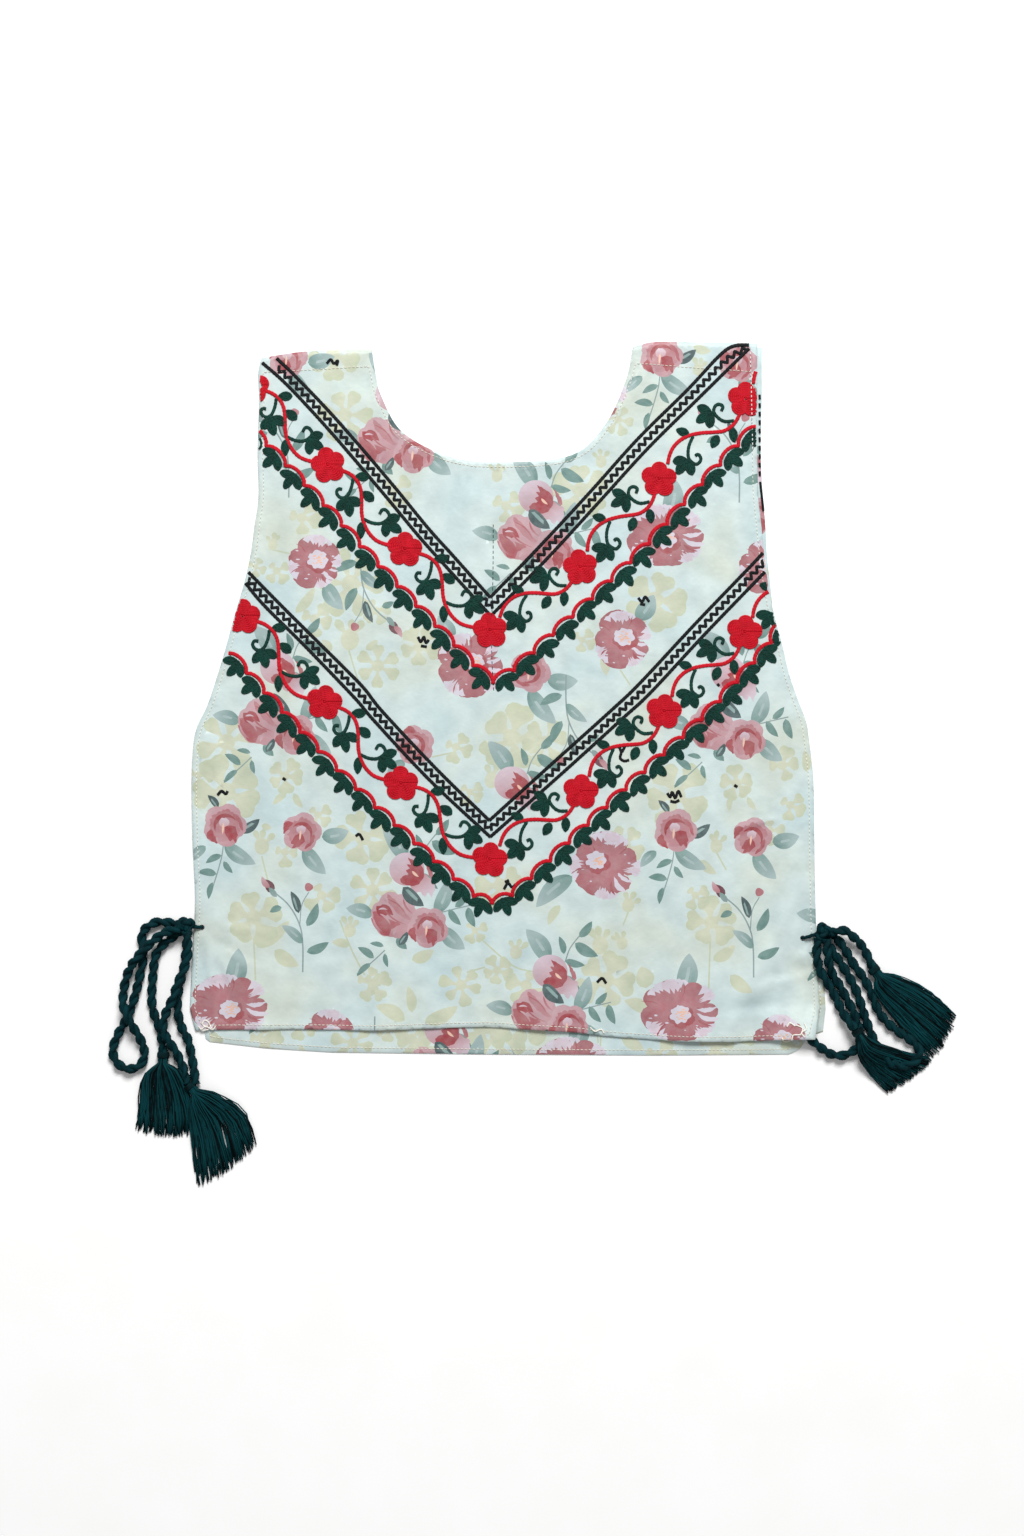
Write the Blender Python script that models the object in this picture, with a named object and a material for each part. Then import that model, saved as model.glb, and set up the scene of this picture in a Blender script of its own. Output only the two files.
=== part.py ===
# Sleeveless embroidered top laid flat on a table, with a tasselled tie at each side.
# X runs to the right, Y towards the shoulders, Z up from the table.
# The origin lies on the table under the middle of the cloth.
import math
import random

import bmesh
import bpy
from mathutils import Vector
from mathutils.geometry import delaunay_2d_cdt

MM = 0.001

# Driving dimensions. Tables below are in millimetres, MM turns them into metres.
CLOTH = 1.2
SEAM_GAP = 0.3
RELIEF = 0.9
SHOULDER_ROLL = 3.0
EDGE_STEP = 14.0
GRID_STEP = 26.0
GRID_CLEARANCE = 9.0
EYELET_RADIUS = 2.3
EYELET_SIDES = 8
CORD_DIAMETER = 7.0
CORD_POINT_STEP = 17.0
KNOT_RADIUS = 8.0
KNOT_HALF_HEIGHT = 5.5
KNOT_HEIGHT = 8.6
TASSEL_HEAD_RADIUS = 4.8
TASSEL_HEAD_LENGTH = 9.0
TASSEL_HEAD_SIDES = 12
STRANDS = 42
STRAND_SIZE = 0.42
STRAND_FLOOR = 0.6
ROOT_RADIUS = 4.4
ROOT_LEAN = 0.22
TIP_LOWEST = 0.5
TIP_SPAN = 0.9

FRONT_REST = CLOTH + SEAM_GAP

# Side edges of both panels at each height, from the armholes down to the hem
SIDES = (
    # height, front left, front right, back left, back right
    (261, -199.2, 199.6, -197.4, 203.4),
    (237, -198.4, 199.6, -196.6, 203.4),
    (199, -199.6, 199.6, -197.8, 202.4),
    (163, -198.8, 200.4, -197.0, 204.2),
    (139, -202.0, 202.8, -200.2, 206.2),
    (115, -205.2, 205.2, -203.4, 207.4),
    (91, -210.8, 208.4, -209.0, 210.2),
    (67, -218.0, 213.2, -216.2, 212.8),
    (43, -224.4, 219.6, -222.6, 218.0),
    (19, -231.6, 225.2, -229.8, 223.6),
    (-5, -239.6, 233.6, -237.8, 232.0),
    (-19, -246.4, 238.8, -244.6, 237.2),
    (-32, -250.4, 240.8, -248.6, 239.2),
    (-65, -252.4, 244.4, -250.6, 242.8),
    (-113, -251.6, 245.2, -249.8, 243.6),
    (-161, -249.6, 246.0, -247.8, 244.6),
    (-201, -251.6, 247.2, -249.0, 248.8),
    (-225, -252.8, 248.2, -248.6, 252.8),
    (-248, -253.8, 249.4, -246.0, 254.4),
)

# Shoulder lines, from left to right
SHOULDERS = (
    ((-196.4, 272.4), (-166.0, 277.2), (-134.0, 278.8), (-108.4, 278.8)),
    ((100.4, 281.2), (118.0, 285.2), (154.0, 285.0), (199.6, 284.0)),
)

# Neckline between the two shoulder lines, from left to right
NECK = (
    (-105.2, 258.0), (-101.0, 242.0), (-84.4, 213.2), (-48.4, 194.0), (-10.0, 188.8),
    (50.0, 194.0), (78.0, 218.8), (94.8, 254.8),
)
BACK_NECK_DROP = 2.0

# Hems from left to right, each with its corners
FRONT_HEM = (
    (-254.4, -265.2), (-165.2, -264.6), (-106.0, -265.2), (-22.0, -262.8), (10.0, -264.4),
    (51.6, -266.8), (88.4, -270.8), (162.0, -274.4), (250.0, -271.6),
)
BACK_HEM = (
    (-243.0, -262.0), (-241.0, -274.0), (-192.4, -279.6), (-140.4, -282.8), (-22.0, -284.4),
    (114.0, -285.2), (226.0, -284.4), (234.8, -279.6), (239.6, -270.8), (252.4, -266.0),
)

# Soft folds of the front panel. A fold runs at an angle to X through its middle.
FOLDS = (
    # middle x, middle y, angle, half length, half width, rise
    (240, -272, -35, 25, 20, 9.6),
    (150, -270, 78, 40, 26, 3.2),
    (196, -232, 52, 34, 12, 2.2),
    (30, -262, 84, 34, 24, 2.4),
    (-100, -266, 95, 30, 22, 1.8),
    (-214, -214, 118, 34, 13, 1.6),
    (-40, 150, 82, 44, 8, 1.4),
    (118, 250, 62, 26, 9, 1.8),
    (-150, 20, 40, 90, 40, 1.5),
    (120, -120, 140, 90, 40, 1.6),
)

EYELETS = ((-244.2, -183.0), (235.9, -191.6))

# Flower middles, from the left armhole over the point to the right armhole
FLOWER_RADIUS = 12.8
FLOWER_CROWN_SCALE = 0.94
UPPER_FLOWERS = (
    (-197.2, 249.2), (-143.6, 186.8), (-82.0, 119.6), (-14.0, 54.8), (58.0, 105.2),
    (121.2, 175.6), (188.6, 241.2),
)
LOWER_FLOWERS = (
    (-208.4, 66.0), (-146.0, -2.8), (-85.2, -67.6), (-14.0, -128.4), (58.8, -74.0),
    (125.2, -10.0), (189.2, 53.2),
)

# Two black rails above each row of flowers
RAIL_WIDTH = 2.6
BAND_SLOPE = 0.45
RAILS = (
    ((-185.2, 272.0), (-127.6, 214.0), (-65.2, 141.2), (-13.2, 80.4), (66.0, 166.0), (146.0, 251.3),
     (174.0, 279.0)),
    ((-196.0, 267.2), (-130.0, 199.6), (-53.2, 111.6), (-13.2, 70.8), (66.0, 152.4), (146.0, 234.5),
     (193.0, 278.0)),
    ((-206.0, 101.2), (-110.0, 2.8), (-14.0, -96.4), (96.4, 9.2), (204.0, 112.0)),
    ((-208.4, 91.6), (-111.6, -10.0), (-14.0, -110.8), (96.4, -4.4), (206.0, 100.4)),
)

# Scalloped trims below the flowers, an arm on each side of the point
TRIM_WIDTH = 2.4
ARCH_RISE = 4.7
TRIM_ARMS = (
    # route from the point outwards, number of arches, side that the arches rise to
    (((-11.6, 11.6), (-24.4, 22.8), (-103.6, 105.2), (-197.0, 216.0)), 13, -1),
    (((-11.6, 11.6), (4.4, 21.2), (99.6, 109.2), (156.4, 174.8), (196.0, 217.0)), 14, 1),
    (((-12.4, -164.4), (-25.2, -160.4), (-122.8, -71.6), (-222.0, 38.8)), 14, -1),
    (((-12.4, -164.4), (2.8, -158.8), (95.6, -72.4), (217.0, 44.2)), 15, 1),
)

# One leaf outline, x across and y from its stalk to its middle lobe
LEAF = (
    (0.0, -3.6), (-5.0, -2.6), (-8.0, 1.4), (-6.4, 5.4), (-3.0, 4.2),
    (0.0, 8.4), (3.0, 4.2), (6.4, 5.4), (8.0, 1.4), (5.0, -2.6),
)
TRIM_LEAF_OFFSET = 5.6
TRIM_LEAF_SIZE = 0.9
LEAF_CROWN_SCALE = 0.86

# One repeat of the vine between two flowers. x runs along it, y away from the rails, both as
# parts of the distance between the flowers. Left of the point the repeat runs towards the point.
VINE_WIDTH = 1.9
VINE = (
    (0.19, -0.055), (0.25, -0.08), (0.33, -0.10), (0.43, -0.075), (0.58, 0.024), (0.72, 0.098),
    (0.81, 0.10),
)
VINE_LEAVES = (
    # along, away, turn in degrees from the rail side, size
    (0.24, 0.135, 200, 0.8),
    (0.63, -0.150, 20, 0.8),
)

# Routes of the cords from the knots to their ends, with the height of the cord's middle
LAID = 3.6
OVER = 10.9
LEFT_LOOP = (
    (-264.7, -180.0, LAID), (-278.0, -178.4, LAID), (-286.0, -181.2, LAID), (-291.2, -186.8, LAID),
    (-292.0, -194.8, LAID), (-290.8, -206.0, LAID), (-293.6, -221.2, LAID), (-296.4, -233.2, LAID),
    (-300.0, -245.2, LAID), (-304.0, -255.6, LAID), (-311.2, -268.4, LAID), (-315.2, -280.4, LAID),
    (-312.4, -290.0, LAID), (-304.4, -295.6, LAID), (-295.2, -294.0, LAID), (-290.0, -286.8, LAID),
    (-290.8, -278.0, LAID), (-294.4, -269.2, 7.0), (-300.4, -258.0, 11.4), (-305.2, -246.8, 11.4),
    (-306.4, -234.8, 6.2), (-303.6, -221.2, 6.6), (-298.4, -211.0, OVER), (-290.6, -201.4, OVER),
    (-282.0, -193.2, OVER), (-273.6, -186.8, OVER), (-264.1, -184.0, OVER),
)
LEFT_SHORT_END = (
    (-262.4, -187.1, LAID), (-268.8, -191.6, LAID), (-276.4, -198.0, LAID), (-281.2, -206.0, LAID),
    (-282.8, -217.2, LAID), (-283.8, -230.4, LAID), (-284.1, -242.0, LAID), (-282.3, -251.6, LAID),
    (-278.6, -261.2, LAID), (-276.0, -272.4, LAID), (-275.0, -280.8, 4.9),
)
LEFT_UPPER_STRAND = (
    (-255.1, -189.5, OVER), (-254.4, -198.8, OVER), (-255.2, -207.6, OVER), (-258.2, -217.2, OVER),
    (-262.8, -227.6, OVER), (-266.0, -238.0, OVER), (-270.3, -246.8, OVER), (-273.6, -255.6, OVER),
    (-274.0, -263.6, OVER), (-270.8, -271.6, OVER), (-265.6, -280.4, 7.0), (-261.2, -290.0, LAID),
    (-258.0, -298.0, LAID), (-256.8, -304.6, 4.4),
)
LEFT_LOWER_STRAND = (
    (-255.7, -189.8, LAID), (-256.7, -201.2, LAID), (-258.3, -214.0, LAID), (-262.0, -229.2, LAID),
    (-263.6, -241.2, LAID), (-263.1, -251.6, LAID), (-260.1, -262.8, LAID), (-255.3, -272.4, LAID),
    (-252.8, -282.8, LAID), (-250.8, -294.0, LAID), (-249.2, -304.8, 4.4),
)
RIGHT_SHORT_END = (
    (260.5, -186.0, OVER), (268.4, -185.2, OVER), (275.6, -190.4, 9.5), (282.0, -196.8, 6.5),
    (286.8, -204.4, 4.9), (290.6, -212.8, 4.9),
)
RIGHT_LOOP = (
    (254.6, -194.2, LAID), (259.6, -202.0, LAID), (265.2, -210.0, LAID), (271.6, -220.4, LAID),
    (278.0, -232.4, LAID), (282.0, -243.6, LAID), (285.6, -254.8, LAID), (289.6, -266.0, LAID),
    (294.4, -276.4, LAID), (301.2, -286.8, LAID), (310.8, -293.2, LAID), (321.2, -292.4, LAID),
    (328.4, -286.0, LAID), (328.0, -279.2, LAID), (321.2, -272.4, LAID), (311.6, -266.0, LAID),
    (303.2, -258.8, LAID), (296.8, -250.8, LAID), (292.6, -241.2, LAID), (288.8, -231.6, LAID),
    (283.2, -221.6, LAID), (276.0, -211.6, LAID), (270.8, -202.8, LAID), (265.2, -194.4, LAID),
    (260.0, -189.0, LAID),
)
RIGHT_TUCKED_LOOP = (
    (254.4, -195.2, OVER), (254.8, -203.6, 11.2), (256.4, -212.4, 8.0), (260.0, -221.4, LAID),
    (265.2, -229.2, LAID), (271.6, -241.2, LAID), (276.4, -250.8, LAID), (279.8, -261.2, LAID),
    (281.6, -270.8, LAID), (279.6, -278.4, LAID), (274.0, -282.8, LAID), (266.8, -285.2, LAID),
    (258.0, -284.0, LAID), (249.6, -278.6, 5.1), (242.0, -272.0, 5.3), (236.8, -266.4, 5.3),
)
RIGHT_LONG_END = (
    (247.5, -194.6, 7.0), (246.6, -201.8, 7.0), (247.4, -210.2, 7.0), (250.6, -219.8, 7.0),
    (257.2, -230.0, LAID), (262.4, -239.8, 4.0), (266.4, -248.6, 6.8), (270.4, -255.4, 9.6),
    (275.0, -261.4, 11.8),
)
CORDS = (
    ("left_loop_cord", LEFT_LOOP),
    ("left_short_end_cord", LEFT_SHORT_END),
    ("left_upper_strand_cord", LEFT_UPPER_STRAND),
    ("left_lower_strand_cord", LEFT_LOWER_STRAND),
    ("right_short_end_cord", RIGHT_SHORT_END),
    ("right_loop_cord", RIGHT_LOOP),
    ("right_tucked_loop_cord", RIGHT_TUCKED_LOOP),
    ("right_long_end_cord", RIGHT_LONG_END),
)

KNOTS = (
    # name, middle, eyelet that its end goes through
    ("left_knot", (-256.4, -181.2), EYELETS[0]),
    ("right_knot", (252.1, -186.0), EYELETS[1]),
)

# Tassels: the head's middle and height, then the two side edges of the spread strands
TASSELS = (
    # name, head middle, head height, right-hand edge, left-hand edge (looking along the strands)
    ("left_upper_tassel", (-274.9, -286.3), 4.9,
     ((-286.0, -303.6), (-294.0, -324.4), (-297.2, -343.6)),
     ((-266.8, -300.4), (-259.6, -321.2), (-254.6, -347.6))),
    ("left_lower_tassel", (-252.5, -310.8), 4.9,
     ((-255.2, -329.0), (-253.6, -352.0), (-248.0, -388.4)),
     ((-236.4, -319.4), (-214.0, -328.6), (-202.0, -356.8))),
    ("right_upper_tassel", (293.6, -217.9), 4.9,
     ((303.0, -239.0), (320.0, -259.0), (340.0, -284.8)),
     ((311.0, -223.0), (336.0, -234.8), (357.2, -253.2))),
    ("right_lower_tassel", (279.4, -266.9), 12.2,
     ((280.0, -286.4), (289.6, -299.2), (305.2, -314.0)),
     ((289.2, -284.8), (303.6, -302.0), (330.0, -306.8))),
)


def remove_all_objects():
    for obj in list(bpy.data.objects):
        bpy.data.objects.remove(obj, do_unlink=True)


def material(name, colour, roughness):
    mat = bpy.data.materials.new(name)
    mat.use_nodes = True
    shader = mat.node_tree.nodes["Principled BSDF"]
    shader.inputs["Base Color"].default_value = (*colour, 1.0)
    shader.inputs["Roughness"].default_value = roughness
    shader.inputs["Metallic"].default_value = 0.0
    mat.diffuse_color = (*colour, 1.0)
    return mat


def smooth_route(points, step):
    """Points about one step apart on a smooth curve through the given ones."""
    pts = [Vector(p) for p in points]
    ends = [pts[0] * 2 - pts[1]] + pts + [pts[-1] * 2 - pts[-2]]
    fine = []
    for i in range(1, len(ends) - 2):
        a, b, c, d = ends[i - 1:i + 3]
        for k in range(12):
            t = k / 12
            fine.append(0.5 * (2 * b + (c - a) * t + (2 * a - 5 * b + 4 * c - d) * t * t
                               + (3 * b - a - 3 * c + d) * t ** 3))
    fine.append(pts[-1])
    lengths = [0.0]
    for p, q in zip(fine, fine[1:]):
        lengths.append(lengths[-1] + (q - p).length)
    count = max(1, round(lengths[-1] / step))
    out = []
    k = 0
    for i in range(count + 1):
        target = lengths[-1] * i / count
        while k < len(fine) - 2 and lengths[k + 1] < target:
            k += 1
        span = lengths[k + 1] - lengths[k]
        out.append(fine[k].lerp(fine[k + 1], (target - lengths[k]) / span if span else 0.0))
    return out


def side_edge(y, column):
    """X of a panel's side at a height, read from SIDES."""
    rows = SIDES
    if y >= rows[0][0]:
        return rows[0][column]
    for upper, lower in zip(rows, rows[1:]):
        if y >= lower[0]:
            t = (upper[0] - y) / (upper[0] - lower[0])
            return upper[column] + (lower[column] - upper[column]) * t
    return rows[-1][column]


def shoulder_height(x):
    line = SHOULDERS[0] if x < 0 else SHOULDERS[1]
    for left, right in zip(line, line[1:]):
        if x <= right[0]:
            t = max(0.0, (x - left[0]) / (right[0] - left[0]))
            return left[1] + (right[1] - left[1]) * t
    return line[-1][1]


def lift(x, y):
    """How far the front panel's folds raise it above the back panel."""
    total = 0.0
    for fold_x, fold_y, angle, half_length, half_width, rise in FOLDS:
        turn = math.radians(angle)
        dx = x - fold_x
        dy = y - fold_y
        along = dx * math.cos(turn) + dy * math.sin(turn)
        across = dy * math.cos(turn) - dx * math.sin(turn)
        total += rise * math.exp(-(along / half_length) ** 2 - (across / half_width) ** 2)
    return total


def side_points(column):
    """One side edge, top to bottom."""
    return [p.to_tuple() for p in smooth_route([(row[column], row[0], 0) for row in SIDES], EDGE_STEP)]


def front_outline():
    """Corners in order anticlockwise, and which of them lie on the shoulder lines."""
    neck = [(x, y, 0) for x, y in NECK]
    left_end = SHOULDERS[0][-1]
    right_start = SHOULDERS[1][0]
    neck_route = [(left_end[0] + 0.4, left_end[1] - SHOULDER_ROLL, 0)] + neck
    neck_route.append((right_start[0] - 0.5, right_start[1] - SHOULDER_ROLL, 0))
    shoulder_points = []
    outline = []

    def add(points, on_shoulder=False):
        for p in points:
            if on_shoulder:
                shoulder_points.append(len(outline))
            outline.append((p[0], p[1]))

    left_corner = SHOULDERS[0][0]
    right_corner = SHOULDERS[1][-1]
    add([(left_corner[0] - 0.9, left_corner[1] - SHOULDER_ROLL)])
    add(side_points(1))
    add(smooth_route([(x, y, 0) for x, y in FRONT_HEM], EDGE_STEP))
    add(reversed(side_points(2)))
    add([(right_corner[0], right_corner[1] - SHOULDER_ROLL)])
    add(reversed(SHOULDERS[1]), True)
    add(reversed(smooth_route(neck_route, EDGE_STEP)))
    add(reversed(SHOULDERS[0]), True)
    return outline, shoulder_points


def back_outline():
    """The back panel's corners, short of the front's rolled shoulders."""
    drop = SHOULDER_ROLL + SEAM_GAP
    neck = smooth_route([(x, y - BACK_NECK_DROP, 0) for x, y in NECK], EDGE_STEP)
    left = [(x, y - drop) for x, y in SHOULDERS[0]]
    right = [(x, y - drop) for x, y in SHOULDERS[1]]
    left[0] = (SIDES[0][3], left[0][1])
    left[-1] = (left[-1][0] - BACK_NECK_DROP, left[-1][1])
    right[0] = (right[0][0] + BACK_NECK_DROP, right[0][1])
    right[-1] = (SIDES[0][4], right[-1][1])
    outline = [(x, y) for x, y, _ in side_points(3)]
    outline += BACK_HEM
    outline += [(x, y) for x, y, _ in reversed(side_points(4))]
    outline += reversed(right)
    outline += [(p.x, p.y) for p in reversed(neck)]
    outline += reversed(left)
    return outline


def eyelet_ring(middle):
    ring = []
    for k in range(EYELET_SIDES):
        turn = 2 * math.pi * k / EYELET_SIDES
        x = middle[0] + EYELET_RADIUS * math.cos(turn)
        y = middle[1] + EYELET_RADIUS * math.sin(turn)
        ring.append((x, y))
    return ring


def scaled_loop(loop, factor):
    x = sum(p[0] for p in loop) / len(loop)
    y = sum(p[1] for p in loop) / len(loop)
    return [(x + (p[0] - x) * factor, y + (p[1] - y) * factor) for p in loop]


def strip_loop(points, width):
    """Closed outline of a band of even width along a line."""
    left = []
    right = []
    for i, p in enumerate(points):
        before = Vector(points[max(i - 1, 0)][:2])
        after = Vector(points[min(i + 1, len(points) - 1)][:2])
        along = (after - before).normalized()
        across = Vector((-along.y, along.x)) * width / 2
        if 0 < i < len(points) - 1:
            arm = (Vector(p[:2]) - before).normalized()
            across /= max(0.5, abs(arm.dot(along)))
        left.append((p[0] + across.x, p[1] + across.y))
        right.append((p[0] - across.x, p[1] - across.y))
    return left + right[::-1]


def shortened(points, length):
    """The same line with both ends cut back, for the crown of a raised band."""
    start = Vector(points[0][:2])
    second = Vector(points[1][:2])
    last = Vector(points[-1][:2])
    before = Vector(points[-2][:2])
    new_start = start + (second - start).normalized() * length
    new_last = last + (before - last).normalized() * length
    return [tuple(new_start)] + [tuple(p[:2]) for p in points[1:-1]] + [tuple(new_last)]


def raised_band(points, width):
    """Foot and crown outlines of a raised band."""
    crown_line = shortened(points, BAND_SLOPE)
    return strip_loop(points, width), strip_loop(crown_line, width - 2 * BAND_SLOPE)


def raised_flower(middle):
    loop = []
    petals = 5
    notch = 0.80
    lobe = 0.97
    for k in range(petals * 3):
        turn = math.pi / 2 + 2 * math.pi * k / (petals * 3)
        radius = FLOWER_RADIUS * (notch if k % 3 == 0 else lobe)
        loop.append((middle[0] + radius * math.cos(turn), middle[1] + radius * math.sin(turn)))
    return loop, scaled_loop(loop, FLOWER_CROWN_SCALE)


def raised_leaf(middle, turn, size):
    """Three-lobed leaf whose middle lobe points along turn, in radians from +X."""
    across = (math.sin(turn), -math.cos(turn))
    along = (math.cos(turn), math.sin(turn))
    loop = []
    for x, y in LEAF:
        loop.append((middle[0] + size * (x * across[0] + y * along[0]),
                     middle[1] + size * (x * across[1] + y * along[1])))
    return loop, scaled_loop(loop, LEAF_CROWN_SCALE)


def trim_motifs(route, arches, rise_side):
    """The scalloped red band of one arm and the leaf under each arch."""
    length = sum((Vector(b) - Vector(a)).length for a, b in zip(route, route[1:]))
    cusps = smooth_route([(x, y, 0) for x, y in route], length / arches)
    shoulders = (0.3, 0.7)
    band = []
    leaves = []
    for a, b in zip(cusps, cusps[1:]):
        chord = b - a
        out = Vector((chord.y, -chord.x, 0)).normalized() * rise_side
        band.append((a.x, a.y))
        for part in shoulders:
            p = a + chord * part - out * ARCH_RISE
            band.append((p.x, p.y))
        middle = a + chord / 2 + out * TRIM_LEAF_OFFSET
        heading = math.atan2(out.y, out.x)
        leaves.append(raised_leaf((middle.x, middle.y), heading, TRIM_LEAF_SIZE))
    band.append((cusps[-1].x, cusps[-1].y))
    return [raised_band(band[1:], TRIM_WIDTH)] + leaves


def vine_motifs(flowers):
    """The red vine and its leaves between each two flowers of one row."""
    motifs = []
    point = len(flowers) // 2
    for i in range(len(flowers) - 1):
        start, end = (flowers[i], flowers[i + 1]) if i >= point else (flowers[i + 1], flowers[i])
        chord = Vector(end) - Vector(start)
        side = 1 if i >= point else -1
        away = Vector((chord.y, -chord.x)) * side
        line = []
        for along, off in VINE:
            if i < point:
                along = 1 - along
            p = Vector(start) + chord * along + away * off
            line.append((p.x, p.y))
        motifs.append(raised_band(line, VINE_WIDTH))
        for along, off, turn, size in VINE_LEAVES:
            if i < point:
                along = 1 - along
            p = Vector(start) + chord * along + away * off
            heading = math.atan2(away.y, away.x) + math.radians(turn + 180) * side
            motifs.append(raised_leaf((p.x, p.y), heading, size))
    return motifs


def kept_on_panel(loop, margin):
    """The loop with what would cross the panel's edge drawn in to it."""
    kept = []
    for x, y in loop:
        y = min(y, shoulder_height(x) - SHOULDER_ROLL - margin)
        x = min(max(x, side_edge(y, 1) + margin), side_edge(y, 2) - margin)
        if not kept or math.dist(kept[-1], (x, y)) > 0.3:
            kept.append((x, y))
    if math.dist(kept[0], kept[-1]) < 0.3:
        kept.pop()
    return kept


def loop_area(loop):
    return 0.5 * sum(a[0] * b[1] - b[0] * a[1] for a, b in zip(loop, loop[1:] + loop[:1]))


def relief_loops():
    """Foot and crown outlines of all the raised embroidery, inside the panel."""
    motifs = [raised_flower(p) for p in UPPER_FLOWERS + LOWER_FLOWERS]
    motifs += [raised_band(line, RAIL_WIDTH) for line in RAILS]
    for route, arches, rise_side in TRIM_ARMS:
        motifs += trim_motifs(route, arches, rise_side)
    motifs += vine_motifs(UPPER_FLOWERS)
    motifs += vine_motifs(LOWER_FLOWERS)
    foot_margin = 1.0
    crown_margin = 1.6
    smallest = 8.0
    loops = []
    for foot, crown in motifs:
        foot = kept_on_panel(foot, foot_margin)
        crown = kept_on_panel(crown, crown_margin)
        if len(crown) > 3 and abs(loop_area(crown)) > smallest:
            loops.append((foot, crown))
    return loops


def inside(point, loop):
    odd = False
    x, y = point
    for a, b in zip(loop, loop[1:] + loop[:1]):
        if (a[1] > y) != (b[1] > y) and x < (b[0] - a[0]) * (y - a[1]) / (b[1] - a[1]) + a[0]:
            odd = not odd
    return odd


def triangulate(points, loops, chains=()):
    """Triangles inside the first of the closed loops of point numbers, with all the loops and
    the open chains among their edges, and where each given point went."""
    edges = []
    for loop in loops:
        edges += list(zip(loop, loop[1:] + loop[:1]))
    for chain in chains:
        edges += list(zip(chain, chain[1:]))
    vectors = [Vector(p) for p in points]
    verts, _, faces, origin, _, _ = delaunay_2d_cdt(vectors, edges, [], 0, 1e-4, True)
    place = {}
    for new, olds in enumerate(origin):
        for old in olds:
            place[old] = new
    outline = [points[i] for i in loops[0]]
    triangles = []
    for face in faces:
        corners = [verts[i] for i in face]
        middle = (sum(c.x for c in corners) / 3, sum(c.y for c in corners) / 3)
        if inside(middle, outline):
            triangles.append(tuple(face) if loop_area(corners) > 0 else tuple(reversed(face)))
    return verts, triangles, place


def grid_points(outline, taken, clearance):
    """Points of an even grid inside the outline and clear of the points already taken."""
    cells = {}
    for p in taken:
        cells.setdefault((round(p[0] / clearance), round(p[1] / clearance)), []).append(p)
    rows = 24
    points = []
    for j in range(-rows, rows + 1):
        for i in range(-rows, rows + 1):
            x = (i + 0.5 * (j % 2)) * GRID_STEP
            y = j * GRID_STEP * 0.866
            if not inside((x, y), outline):
                continue
            cell = (round(x / clearance), round(y / clearance))
            around = [(cell[0] + a, cell[1] + b) for a in (-1, 0, 1) for b in (-1, 0, 1)]
            near = [p for key in around for p in cells.get(key, ())]
            if all(math.dist(p, (x, y)) > clearance for p in near):
                points.append((x, y))
    return points


def panel_sheet(outline, holes, raised, creases, height, folded):
    """One face of a panel as points in space and triangles, with its edge loops."""
    points = list(outline)
    loops = [list(range(len(outline)))]
    crowns = set()
    for hole in holes:
        loops.append(list(range(len(points), len(points) + len(hole))))
        points += hole
    edge_count = len(points)
    chains = []
    for start, inner, end in creases:
        chains.append([start] + list(range(len(points), len(points) + len(inner))) + [end])
        points += inner
    for foot, crown in raised:
        for loop in (foot, crown):
            loops.append(list(range(len(points), len(points) + len(loop))))
            if loop is crown:
                crowns.update(loops[-1])
            points += loop
    if folded:
        points += grid_points(outline, points, GRID_CLEARANCE)
    verts, triangles, place = triangulate(points, loops, chains)
    raised_verts = {place[i] for i in crowns if i in place}
    hole_middles = [tuple(sum(p[k] for p in hole) / len(hole) for k in (0, 1)) for hole in holes]
    kept = []
    for tri in triangles:
        middle = tuple(sum(verts[i][k] for i in tri) / 3 for k in (0, 1))
        if all(math.dist(middle, hole) > EYELET_RADIUS * 0.9 for hole in hole_middles):
            kept.append(tri)
    edge = {place[i]: i for i in range(edge_count)}
    coords = []
    for i, v in enumerate(verts):
        z = height(v.x, v.y, edge.get(i)) + (RELIEF if i in raised_verts else 0.0)
        coords.append((v.x * MM, v.y * MM, z * MM))
    edge_loops = [[place[i] for i in loop] for loop in loops[:1 + len(holes)]]
    return coords, kept, edge_loops


def closed_panel(name, outline, holes, raised, creases, top, bottom, folded, mat):
    """A panel's two faces joined round its outline and through its eyelets."""
    upper, upper_faces, upper_loops = panel_sheet(outline, holes, raised, creases, top, folded)
    lower, lower_faces, lower_loops = panel_sheet(outline, holes, [], creases, bottom, folded)
    shift = len(upper)
    faces = list(upper_faces)
    faces += [tuple(i + shift for i in reversed(face)) for face in lower_faces]
    for number, (above, below) in enumerate(zip(upper_loops, lower_loops)):
        outward = 1 if number == 0 else -1
        for k in range(len(above)):
            n = (k + 1) % len(above)
            quad = (above[n], above[k], below[k] + shift, below[n] + shift)
            faces.append(quad if outward > 0 else quad[::-1])
    mesh = bpy.data.meshes.new(name)
    mesh.from_pydata(upper + lower, [], faces)
    bm = bmesh.new()
    bm.from_mesh(mesh)
    loose = [v for v in bm.verts if not v.link_faces]
    bmesh.ops.delete(bm, geom=loose, context="VERTS")
    bmesh.ops.recalc_face_normals(bm, faces=bm.faces)
    bm.to_mesh(mesh)
    bm.free()
    mesh.materials.append(mat)
    obj = bpy.data.objects.new(name, mesh)
    bpy.context.collection.objects.link(obj)
    return obj


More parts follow.
